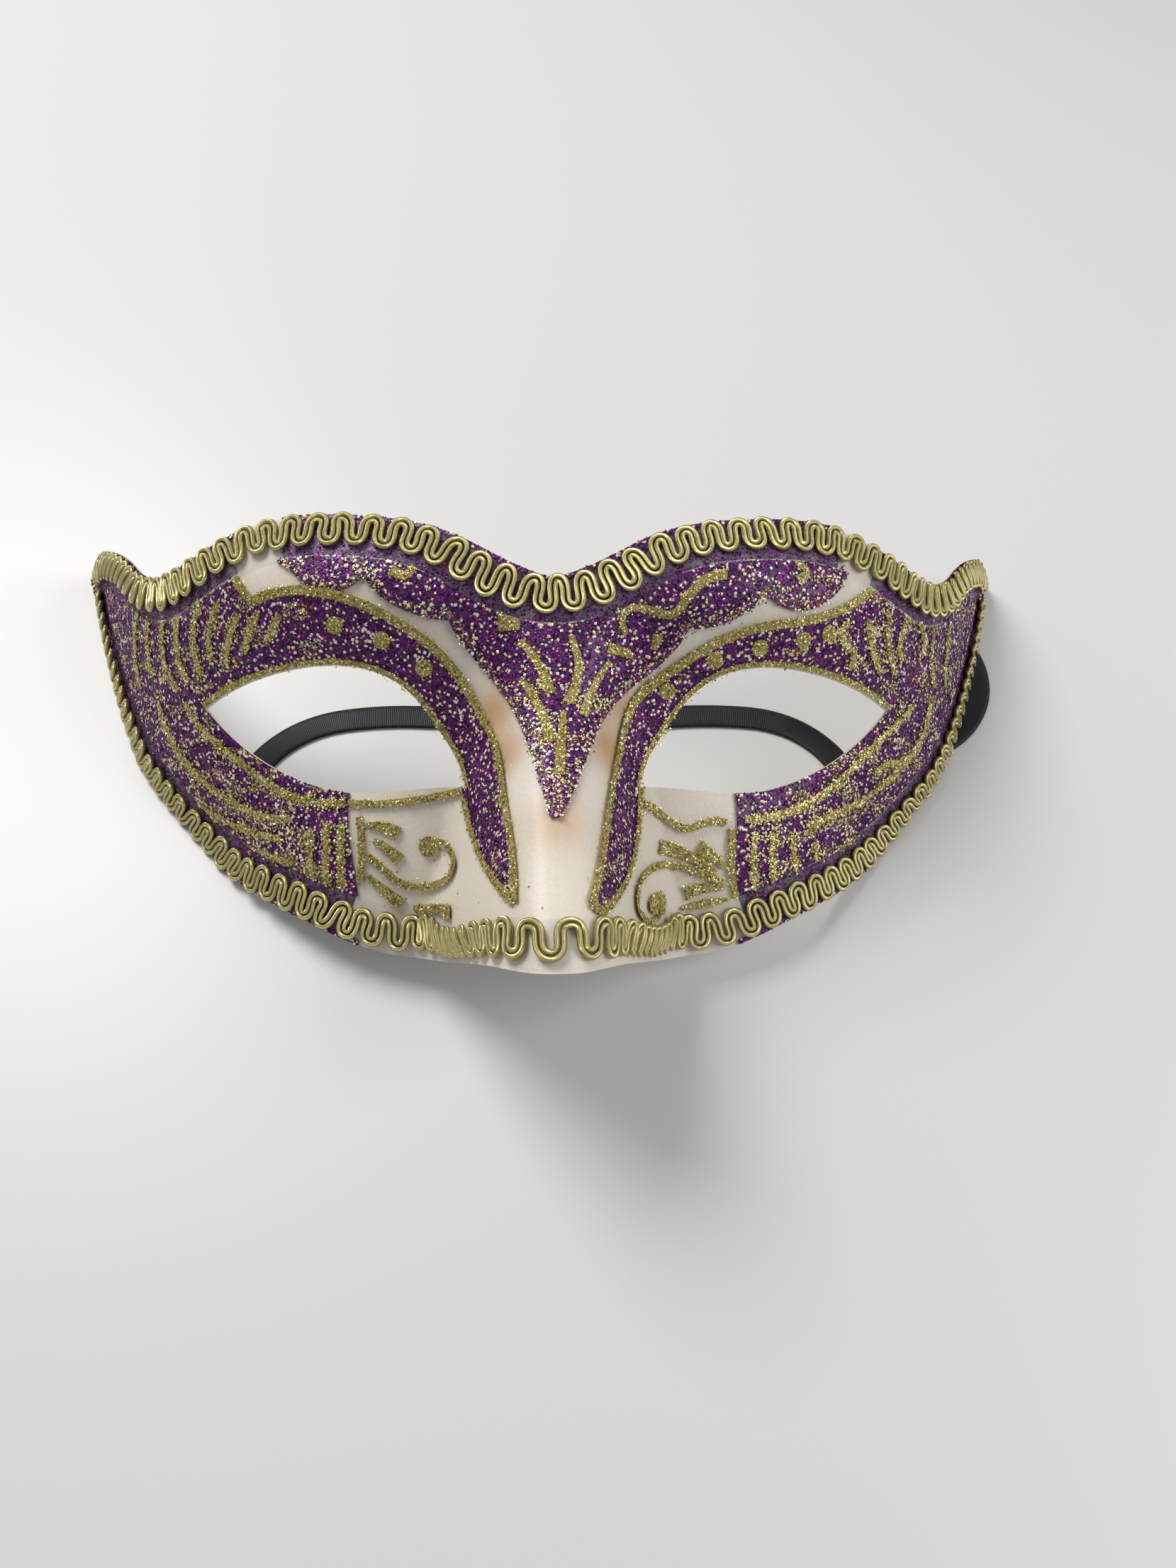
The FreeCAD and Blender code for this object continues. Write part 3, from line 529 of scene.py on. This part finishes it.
def metallic_cord():
    """Gold thread wound round a cord: slanting threads along the cord's own map, paler on their crowns and darker in
    their grooves by the same wave as the bump, which is painted shade between the threads; and painted shade on both
    flanks of each cord, where the two cords meet and on the outer side, with its top and underside left light."""
    material, tree, links, shader = new_material("metallic_cord")
    uv = tree.nodes.new("ShaderNodeTexCoord")
    turn = add_node(tree, "ShaderNodeMapping")
    turn.inputs["Scale"].default_value = (7.0, 3.0, 1.0)
    turn.inputs["Rotation"].default_value = (0, 0, 0.6)
    wave = add_node(tree, "ShaderNodeTexWave", Scale=1.0, Distortion=0.6, Detail=1.0)
    grain = use_group(tree, GRAIN, Coarse=300.0, Fine=1800.0, Share=0.5)
    links.new(uv.outputs["UV"], turn.inputs["Vector"])
    links.new(turn.outputs["Vector"], wave.inputs["Vector"])
    # Thread colour follows the bump's wave: paler crowns and darker grooves, painted shade between the threads.
    colour = mix_colour(tree, wave.outputs["Fac"], (0.56, 0.45, 0.11, 1), (1.0, 0.91, 0.42, 1))
    worn = mix_colour(tree, grain.outputs["Height"], (0.56, 0.45, 0.13, 1), (1.0, 0.94, 0.54, 1))
    colour = mix_colour(tree, 0.45, colour, worn)
    # Painted shade on the cord's flanks: dark at both sides, where it meets the other cord and on its outer side, light
    # along its top and underside.
    painted_flank_shade = add_node(tree, "ShaderNodeValToRGB")
    painted_flank_shade.color_ramp.interpolation = "EASE"
    painted_flank_shade.color_ramp.elements[0].color = painted_flank_shade.color_ramp.elements[1].color = (0.2, 0.15, 0.04, 1)
    painted_flank_shade.color_ramp.elements.new(0.5).color = (1, 1, 1, 1)
    around = tree.nodes.new("ShaderNodeSeparateXYZ")
    links.new(uv.outputs["UV"], around.inputs["Vector"])
    links.new(around.outputs["Y"], painted_flank_shade.inputs["Fac"])
    colour = mix_colour(tree, 0.8, colour, painted_flank_shade.outputs["Color"], "MULTIPLY")
    links.new(colour, shader.inputs["Base Color"])
    shader.inputs["Metallic"].default_value = 0.85
    shader.inputs["Roughness"].default_value = 0.2
    add_bump(tree, shader, wave.outputs["Fac"], 0.5, 0.05 * MM)
    return material


def clear_glue(name, thin, thick):
    """Dried clear glue: see-through with white haze where it is thick."""
    material, tree, links, shader = new_material(name)
    grain = use_group(tree, GRAIN, Coarse=260.0, Fine=1500.0, Share=0.5)
    haze = add_node(tree, "ShaderNodeMapRange")
    haze.inputs["From Min"].default_value = 0.45
    haze.inputs["From Max"].default_value = 1.0
    haze.inputs["To Min"].default_value = thin
    haze.inputs["To Max"].default_value = thick
    links.new(grain.outputs["Height"], haze.inputs["Value"])
    links.new(haze.outputs["Result"], shader.inputs["Alpha"])
    shader.inputs["Base Color"].default_value = (0.84, 0.83, 0.80, 1)
    shader.inputs["Roughness"].default_value = 0.16
    add_bump(tree, shader, grain.outputs["Height"], 0.8, 0.3 * MM)
    return material


def satin_ribbon():
    """Black satin: fine threads across and a soft sheen."""
    material, tree, links, shader = new_material("satin_ribbon")
    uv = tree.nodes.new("ShaderNodeTexCoord")
    split = tree.nodes.new("ShaderNodeSeparateXYZ")
    rib = add_node(tree, "ShaderNodeMath", operation="SINE")
    size = add_node(tree, "ShaderNodeMath", operation="MULTIPLY")
    size.inputs[1].default_value = 2 * math.pi / THREAD_PITCH
    grain = use_group(tree, GRAIN, Coarse=400.0, Fine=3000.0, Share=0.5)
    links.new(uv.outputs["UV"], split.inputs["Vector"])
    links.new(split.outputs["X"], size.inputs[0])
    links.new(size.outputs["Value"], rib.inputs[0])
    colour = mix_colour(tree, grain.outputs["Height"], (0.003, 0.003, 0.004, 1), (0.010, 0.010, 0.012, 1))
    links.new(colour, shader.inputs["Base Color"])
    shader.inputs["Roughness"].default_value = 0.46
    shader.inputs["Specular IOR Level"].default_value = 0.3
    shader.inputs["Sheen Weight"].default_value = 0.05
    shader.inputs["Anisotropic"].default_value = 0.4
    add_bump(tree, shader, rib.outputs["Value"], 0.35, 0.06 * MM)
    return material


# Shell: the solid's own shape with doubles merged, and normals worked out from the face

def smooth_shell():
    """The shell's mesh with exact normals: where a triangle looks along the face's normal its corners take that
    normal, where it looks against it they take the opposite, and the narrow edge wall keeps its own."""
    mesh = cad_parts["mask_shell"].data.copy()
    mesh.name = "pearl_shell_body"
    work = bmesh.new()
    work.from_mesh(mesh)
    bmesh.ops.remove_doubles(work, verts=work.verts, dist=1e-6)
    work.to_mesh(mesh)
    work.free()
    mesh.materials.clear()
    mesh.materials.append(pearl_shell())
    mesh.materials.append(plain_inside())
    x, y, _ = upright(corner_places(mesh)).T
    outward = turned(face_normal(x, y))
    corners, owner = np.empty(len(mesh.loops), int), np.empty(len(mesh.polygons), int)
    mesh.loops.foreach_get("vertex_index", corners)
    mesh.polygons.foreach_get("loop_total", owner)
    owner = np.repeat(np.arange(len(owner)), owner)
    flat = np.empty(len(mesh.polygons) * 3)
    mesh.polygons.foreach_get("normal", flat)
    flat = flat.reshape(-1, 3)
    along = (flat[owner] * outward[corners]).sum(1)
    normals = np.where((along > 0.7)[:, None], outward[corners],
                       np.where((along < -0.7)[:, None], -outward[corners], flat[owner]))
    inner = np.zeros(len(mesh.polygons), int)
    np.maximum.at(inner, owner, (along < -0.7).astype(int))
    mesh.polygons.foreach_set("material_index", inner)
    mesh.polygons.foreach_set("use_smooth", np.ones(len(mesh.polygons), bool))
    mesh.normals_split_custom_set(normals.tolist())
    piece = bpy.data.objects.new("pearl_shell_body", mesh)
    bpy.context.scene.collection.objects.link(piece)
    return settle(piece, ["mask_shell"])


# Glitter

# Colours of the foil, each with its share of the flakes. Beside the foil's own colour, the purples and golds hold
# darker and paler copies of it, painted shade and painted highlight on single flakes; the brown gold among the purples
# is the foil's own mix.
PURPLES = [((0.10, 0.008, 0.13), 0.30), ((0.24, 0.016, 0.26), 0.21), ((0.02, 0.002, 0.035), 0.30),
           ((0.56, 0.04, 0.46), 0.14), ((0.26, 0.19, 0.07), 0.05)]
GOLDS = [((0.62, 0.50, 0.12), 0.34), ((0.95, 0.84, 0.38), 0.28), ((0.22, 0.17, 0.03), 0.22),
         ((1.0, 0.95, 0.62), 0.16)]
# Painted glints: pale flakes of little metal that stay bright under any light, standing in for the purple's sparkle.
PAINTED_GLINTS = [((1.0, 0.90, 0.62), 0.55), ((0.95, 0.88, 0.95), 0.2), ((1.0, 0.82, 0.40), 0.25)]


def face_samples(node, per_square_mm, rng):
    """Random places on a node's outward triangles, chosen by area, with the face's normal there."""
    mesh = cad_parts[node].data
    mesh.calc_loop_triangles()
    corners = np.empty(len(mesh.loop_triangles) * 3, int)
    mesh.loop_triangles.foreach_get("vertices", corners)
    a, b, c = corner_places(mesh)[corners.reshape(-1, 3)].transpose(1, 0, 2)
    cross = np.cross(b - a, c - a)
    x, y, _ = upright((a + b + c) / 3).T
    outward = turned(face_normal(x, y))
    weight = np.where((cross * outward).sum(1) > 0.6 * np.linalg.norm(cross, axis=1), np.linalg.norm(cross, axis=1), 0)
    count = int(weight.sum() / 2 / MM ** 2 * per_square_mm)
    pick = rng.choice(len(weight), count, p=weight / weight.sum())
    u, v = np.sqrt(rng.random(len(pick))), rng.random(len(pick))
    points = a[pick] * (1 - u)[:, None] + b[pick] * (u * (1 - v))[:, None] + c[pick] * (u * v)[:, None]
    return points, outward[pick]


def gold_patch(points):
    """True where loose gold lies on the cheeks, the temples and the brow's point: a sum of slow waves across and up,
    past a threshold, and all of the point's tip."""
    x, y, _ = upright(points).T
    side = np.abs(x)
    waves = np.sin(0.55 * side + 0.9 * y) + np.sin(1.25 * y - 0.35 * side + 1.0) + 0.8 * np.sin(0.8 * x + 0.3 * y)
    cheeks = (side > 36) & (waves > np.where(y < 6, 0.15, 0.9))
    return cheeks | ((side < 9) & (y < 15) & (waves > 0.5)) | ((side < 4) & (y < 0.5))


# Share of a flake's radius that its middle stands off the paint, and half of its thickness
FLAKE_RISE = 0.35
FLAKE_BELLY = 0.16


def scatter_flakes(name, nodes, per_square_mm, sizes, palette, material, seed, tilt=0.5, stray=0.0, kept=None):
    """Flakes as squashed eight-sided forms: four rim points round a tilted normal, and a low point either side.
    Some stray from their place along the face by a bell curve of the given reach, in millimetres."""
    rng = np.random.default_rng(seed)
    pairs = [face_samples(node, per_square_mm, rng) for node in nodes]
    points, normal = (np.concatenate(part) for part in zip(*pairs))
    if kept is not None:
        chosen = kept(points)
        points, normal = points[chosen], normal[chosen]
    count = len(points)
    wander = rng.normal(size=(count, 3)) * stray * MM * rng.random((count, 1))
    points = points + wander - (wander * normal).sum(1, keepdims=True) * normal
    lean = unit(normal + tilt * rng.normal(size=(count, 3)) * rng.random((count, 1)))
    first = unit(np.cross(lean, rng.normal(size=(count, 3))))
    second = np.cross(lean, first)
    small, large = sizes
    radius = (small + (large - small) * rng.random(count) ** 1.5)[:, None] / 2 * MM
    middle = points + normal * radius * FLAKE_RISE
    shape = rng.uniform(0.7, 1.0, (count, 1))
    rim = [middle + first * radius, middle + second * radius * shape, middle - first * radius,
           middle - second * radius * shape]
    poles = [middle + lean * radius * FLAKE_BELLY, middle - lean * radius * FLAKE_BELLY]
    vertices = np.stack(rim + poles, 1).reshape(-1, 3)
    pattern = np.array([(0, 1, 4), (1, 2, 4), (2, 3, 4), (3, 0, 4), (1, 0, 5), (2, 1, 5), (3, 2, 5), (0, 3, 5)])
    faces = (pattern[None] + 6 * np.arange(count)[:, None, None]).reshape(-1, 3)
    piece = add_piece(name, vertices, faces.tolist(), material, smooth=False)
    colours = np.array([colour for colour, share in palette])
    shares = np.array([share for colour, share in palette])
    tint = colours[rng.choice(len(colours), count, p=shares / shares.sum())] * rng.uniform(0.8, 1.1, (count, 1))
    attribute = piece.data.color_attributes.new("tint", "FLOAT_COLOR", "POINT")
    attribute.data.foreach_set("color", np.repeat(np.hstack([tint, np.ones((count, 1))]), 6, axis=0).ravel())
    return piece


# Braid

def wavy_noise(s, seed, lengths=(7.0, 12.0, 23.0)):
    """Slow smooth wander between about -1 and 1: a few sines with random phases."""
    rng = np.random.default_rng(seed)
    phases = rng.uniform(0, 2 * np.pi, len(lengths))
    return sum(np.sin(2 * np.pi * s / length + phase) for length, phase in zip(lengths, phases)) / len(lengths)


def braid(name, line, outward, pitch_stations, node, seed):
    """Two cords side by side in a wave along a band: across the band a sine of the phase, along it a sine of twice
    the phase that rounds the turns, with the pitch and lean wandering. Where the waves are bunched, the cords lie
    closer and ride up on each other. Each cord is a circle carried along."""
    stretch = stretch_on_face(line, unit(np.gradient(line, axis=0)))
    step = np.linalg.norm(np.gradient(line, axis=0), axis=1) * stretch
    along = np.concatenate([[0], np.cumsum((step[1:] + step[:-1]) / 2)])
    along -= np.interp(0, line[:, 0], along)
    fine = np.arange(along[0] + BAND_END, along[-1] - BAND_END, FINE_STEP)
    pitch = through(pitch_stations, fine)
    phase = np.cumsum(2 * np.pi * FINE_STEP / (pitch * (1 + PITCH_WANDER * wavy_noise(fine, seed))))
    keep = np.searchsorted(phase, np.arange(phase[0], phase[-1], 2 * np.pi / RINGS_PER_WAVE))
    s, phase, pitch = fine[keep], phase[keep], pitch[keep]
    reach = WAVE_REACH * (1 + REACH_WANDER * wavy_noise(s, seed + 1, (5.0, 9.0)))
    across = reach * np.sin(phase)
    lean = LEAN_WANDER * wavy_noise(s, seed + 2)
    s = s - WAVE_BULGE * pitch / USUAL_PITCH * np.sin(2 * phase) + lean * across
    s = np.clip(s, along[0], along[-1])
    x, y = np.interp(s, along, line[:, 0]), np.interp(s, along, line[:, 1])
    side = unit(np.stack([np.interp(s, along, outward[:, 0]), np.interp(s, along, outward[:, 1])], 1))
    scale = stretch_on_face(np.stack([x, y], 1), side)
    x, y = x + side[:, 0] * across / scale, y + side[:, 1] * across / scale
    loose, tight = BUNCHED_PITCH
    bunch = np.clip((loose - pitch) / (loose - tight), 0, 1)
    least, most = BUNCH_LIFT
    lift = FILM_THICKNESS + CORD_RADIUS + (least + most * bunch) * (0.5 + 0.5 * np.cos(phase + BUNCH_PHASE))
    centre = on_face(x, y, lift)
    ahead = unit(np.gradient(centre, axis=0))
    normal = face_normal(x, y)
    beside = unit(np.cross(normal, ahead))
    normal = np.cross(ahead, beside)
    angle = 2 * np.pi * np.arange(CORD_SIDES) / CORD_SIDES
    rings, faces, uvs = [], [], []
    length = np.concatenate([[0], np.cumsum(np.linalg.norm(np.diff(centre, axis=0), axis=1))])
    squeezed = (CORD_GAP * (1 - BUNCH_SQUEEZE * bunch))[:, None]
    for sign in (-1, 1):
        middle = centre + beside * squeezed * sign
        ring = (middle[:, None] + CORD_RADIUS * (np.cos(angle)[None, :, None] * beside[:, None]
                                                 + np.sin(angle)[None, :, None] * normal[:, None]))
        caps = np.stack([middle[0], middle[-1]])
        base = sum(len(part) for part in rings)
        rings.append(np.concatenate([ring.reshape(-1, 3), caps]))
        quads = grid_faces(len(middle), CORD_SIDES, True) + base
        last = (len(middle) - 1) * CORD_SIDES + base
        cap = len(middle) * CORD_SIDES + base
        around = [(j, (j + 1) % CORD_SIDES) for j in range(CORD_SIDES)]
        ends = [(base + j, cap, base + k) for j, k in around]
        ends += [(last + j, last + k, cap + 1) for j, k in around]
        faces += quads[:, ::-1].tolist() + ends
        grid = np.stack(np.broadcast_arrays(length[:, None], np.abs(angle / np.pi - 1)[None]), -1).reshape(-1, 2)
        uvs.append(np.concatenate([grid, [[0, 0], [length[-1], 0]]]))
    return add_piece(name, leaned(np.concatenate(rings)), faces, CORD_METAL, [node],
                     uv=np.concatenate(uvs))


# Paint under the braid, where the purple panels run on to the shell's edge

# Reach of the paint either side of the band's middle, its stretches from and to in millimetres across, its lower and
# upper distance from the face, and its least height over the rest plane
PAINT_REACH = (-4.2, 2.9)
UPPER_PAINT = [(-89.0, -50.6), (-42.0, 46.6), (53.2, 89.0)]
LOWER_PAINT = [(-88.0, -32.6), (31.6, 88.0)]
PAINT_LIFT = (0.01, 0.04)
PAINT_FOOT = 0.45
PAINT_COLUMNS = 7
BANDS_PART_AT = 22


def under_paint(name, line, outward, stretch_of_line):
    """A thin strip along part of a band: its section is an oblong of the paint's reach and thickness."""
    first, last = stretch_of_line
    kept = (line[:, 0] >= first) & (line[:, 0] <= last)
    middle, side = line[kept][::2], outward[kept][::2]
    share = np.linspace(*PAINT_REACH, PAINT_COLUMNS)
    across = np.concatenate([share, share[::-1]])
    lift = np.repeat(PAINT_LIFT[::-1], PAINT_COLUMNS)
    scale = stretch_on_face(middle, side)[:, None]
    x = middle[:, :1] + side[:, :1] * across[None] / scale
    y = middle[:, 1:] + side[:, 1:] * across[None] / scale
    points = leaned(on_face(x.ravel(), y.ravel(), np.broadcast_to(lift, x.shape).ravel()))
    points[:, 2] = np.maximum(points[:, 2], PAINT_FOOT * MM)
    rows, columns = x.shape
    faces = grid_faces(rows, columns, True).tolist()
    faces += [list(range(columns))[::-1], list(range((rows - 1) * columns, rows * columns))]
    return add_piece(name, points, faces, PURPLE_BASE)


def under_paint_zone(points):
    """True on the parts of the bands that lie on purple paint."""
    x, y, _ = upright(points).T
    inside = np.zeros(len(x), bool)
    for part, spans in ((y > BANDS_PART_AT, UPPER_PAINT), (y <= BANDS_PART_AT, LOWER_PAINT)):
        for first, last in spans:
            inside |= part & (x > first) & (x < last)
    return inside


# Ribbons

def route_points(route):
    """The whole route in metres: the exit on the glue pad, in line with the first run, then the flat points."""
    level = RIBBON_THICKNESS / 2
    flat = np.array(route)
    run = unit(flat[1] - flat[0])
    start = flat[0] - run * EXIT_REACH
    return np.concatenate([[(*start, EXIT_HEIGHT)], np.column_stack([flat, np.full(len(flat), level)])]) * MM


def smooth_route(name, points):
    """Points read along the smooth curve that the route steers."""
    curve = bpy.data.curves.new(name + "_route", "CURVE")
    curve.dimensions = "3D"
    spline = curve.splines.new("NURBS")
    spline.points.add(len(points) - 1)
    spline.points.foreach_set("co", np.hstack([points, np.ones((len(points), 1))]).ravel())
    spline.order_u = 3
    spline.use_endpoint_u = True
    spline.resolution_u = 10
    guide = bpy.data.objects.new(name + "_route", curve)
    mesh = bpy.data.meshes.new_from_object(guide)
    line = corner_places(mesh)
    bpy.data.meshes.remove(mesh)
    bpy.data.objects.remove(guide)
    bpy.data.curves.remove(curve)
    return line


def ribbon(name, route, node):
    """A flat strip carried along its route: an oblong with rounded edges, level across, a little crowned."""
    points = route_points(route)
    line = smooth_route(name, points)
    ahead = unit(np.gradient(line, axis=0))
    beside = unit(np.cross([0, 0, 1], ahead))
    normal = np.cross(ahead, beside)
    half, thick = RIBBON_WIDTH / 2 * MM, RIBBON_THICKNESS / 2 * MM
    share = np.linspace(-1, 1, RIBBON_COLUMNS)
    across = np.concatenate([share, share[::-1]])
    edge = thick * (1 - 0.7 * np.abs(across) ** 6)
    height = edge * np.repeat([1, -1], RIBBON_COLUMNS)
    ring = (line[:, None] + beside[:, None] * (across * half)[None, :, None]
            + normal[:, None] * height[None, :, None])
    columns = len(across)
    faces = grid_faces(len(line), columns, True)[:, ::-1].tolist()
    last = (len(line) - 1) * columns
    faces += [list(range(columns)), list(range(last, last + columns))[::-1]]
    length = np.concatenate([[0], np.cumsum(np.linalg.norm(np.diff(line, axis=0), axis=1))])
    uv = np.stack(np.broadcast_arrays(length[:, None] / MM, (across * half / MM)[None]), -1).reshape(-1, 2)
    piece = add_piece(name, ring.reshape(-1, 3), faces, SATIN, [node], uv=uv)
    return piece


# Pieces

SATIN = satin_ribbon()
CORD_METAL = metallic_cord()
PURPLE_BASE = painted_base("purple_paint", (0.013, 0.001, 0.025, 1), (0.08, 0.006, 0.10, 1))
ribbon("left_satin_ribbon", LEFT_ROUTE, "left_ribbon")
ribbon("right_satin_ribbon", RIGHT_ROUTE, "right_ribbon")
smooth_shell()

upper_line, lower_line = braid_lines()
for number, stretch_of_line in enumerate(UPPER_PAINT):
    under_paint("upper_under_paint_" + str(number + 1), *upper_line, stretch_of_line)
for number, stretch_of_line in enumerate(LOWER_PAINT):
    under_paint("lower_under_paint_" + str(number + 1), *lower_line, stretch_of_line)
braid("upper_braid_cords", *upper_line, UPPER_PITCH, "upper_braid", SEED + 1)
braid("lower_braid_cords", *lower_line, LOWER_PITCH, "lower_braid", SEED + 5)

GOLD_BASE = painted_base("gold_paint", (0.10, 0.07, 0.015, 1), (0.42, 0.32, 0.08, 1))
GLUE_FILM, GLUE_PAD = clear_glue("glue_film", 0.02, 0.16), clear_glue("glue_pad", 0.45, 0.9)
for name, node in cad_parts.items():
    if name.startswith("purple") or name == "gold_brow_edging":
        finish = PURPLE_BASE
    elif name.startswith("gold"):
        finish = GOLD_BASE
    elif name.endswith("film"):
        finish = GLUE_FILM
    elif name.endswith("glue"):
        finish = GLUE_PAD
    else:
        continue
    node.data.materials.clear()
    node.data.materials.append(finish)

PURPLE_FOIL = flake_foil("purple_foil", 0.6, 0.3)
GOLD_FOIL = flake_foil("gold_foil", 0.85, 0.28)
PAINTED_GLINT_FOIL = flake_foil("painted_glint_foil", 0.2, 0.25)
purple_nodes = sorted(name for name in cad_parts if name.startswith("purple"))
full_gold = sorted(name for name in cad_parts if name.startswith("gold") and name != "gold_brow_edging")
for number, node in enumerate(purple_nodes):
    scatter_flakes(node + "_flakes", [node], 11, (0.22, 0.55), PURPLES, PURPLE_FOIL,
                   SEED + 11 + number)
scatter_flakes("brow_edge_purple_flakes", ["gold_brow_edging"], 9, (0.22, 0.55), PURPLES, PURPLE_FOIL,
               SEED + 31, stray=0.3)
scatter_flakes("band_purple_flakes", ["upper_braid_glue_film", "lower_braid_glue_film"], 9, (0.22, 0.5), PURPLES,
               PURPLE_FOIL, SEED + 36, kept=under_paint_zone)
# Painted glints scattered on the purple: pale flakes that are bright from every side.
scatter_flakes("painted_glint_flakes", purple_nodes + ["gold_brow_edging"], 1.0, (0.45, 0.75), PAINTED_GLINTS, PAINTED_GLINT_FOIL,
               SEED + 32, tilt=0.2)
scatter_flakes("gold_flakes", full_gold, 16, (0.2, 0.5), GOLDS, GOLD_FOIL, SEED + 33, stray=0.45)
scatter_flakes("stroke_gold_flakes", [name for name in full_gold if name.endswith(("strokes", "lines"))], 22,
               (0.25, 0.6), GOLDS, GOLD_FOIL, SEED + 38, stray=0.9)
scatter_flakes("gold_brow_edge_flakes", ["gold_brow_edging"], 9, (0.2, 0.5), GOLDS, GOLD_FOIL,
               SEED + 34, stray=0.5)
scatter_flakes("loose_gold_flakes", purple_nodes, 11, (0.22, 0.55), GOLDS, GOLD_FOIL, SEED + 35,
               kept=gold_patch)


# Stage, light and camera, in metres
FLOOR_LEVEL = -0.0002
LIGHT_TARGET = (0, 0, 0.02)
LIGHT_SIZE = 0.5


def area_light(name, place, watts):
    light = bpy.data.lights.new(name, "AREA")
    light.shape = "DISK"
    light.size = LIGHT_SIZE
    light.energy = watts
    lamp = bpy.data.objects.new(name, light)
    lamp.location = place
    lamp.rotation_euler = (Vector(LIGHT_TARGET) - Vector(place)).to_track_quat("-Z", "Y").to_euler()
    bpy.context.scene.collection.objects.link(lamp)


def pale_floor():
    material, _, _, shader = new_material("pale_floor")
    shader.inputs["Base Color"].default_value = (0.74, 0.72, 0.69, 1)
    shader.inputs["Roughness"].default_value = 0.35
    mesh = bpy.data.meshes.new("floor")
    corners = [(x, y, FLOOR_LEVEL) for x, y in ((-3, -3), (3, -3), (3, 3), (-3, 3))]
    mesh.from_pydata(corners, [], [(0, 1, 2, 3)])
    mesh.materials.append(material)
    floor = bpy.data.objects.new("floor", mesh)
    bpy.context.scene.collection.objects.link(floor)


def set_camera():
    data = bpy.data.cameras.new("camera")
    data.lens = LENS
    data.sensor_width = 36
    data.clip_start = 0.005
    camera = bpy.data.objects.new("camera", data)
    right, forward = Vector(CAMERA_RIGHT).normalized(), Vector(CAMERA_FORWARD).normalized()
    up = right.cross(forward)
    place = Vector(CAMERA_PLACE) + Vector(SHIFT * MM)
    camera.matrix_world = Matrix.Translation(place) @ Matrix((right, up, -forward)).transposed().to_4x4()
    bpy.context.scene.collection.objects.link(camera)
    bpy.context.scene.camera = camera


pale_floor()
area_light("window", (-0.40, 0.45, 0.70), 6.1)
area_light("fill", (0.6, -0.1, 0.5), 2.2)
world = bpy.data.worlds.new("room")
world.use_nodes = True
world.node_tree.nodes["Background"].inputs["Color"].default_value = (0.9, 0.93, 1.0, 1)
world.node_tree.nodes["Background"].inputs["Strength"].default_value = 0.32
bpy.context.scene.world = world
set_camera()
bpy.context.scene.view_settings.view_transform = "Standard"
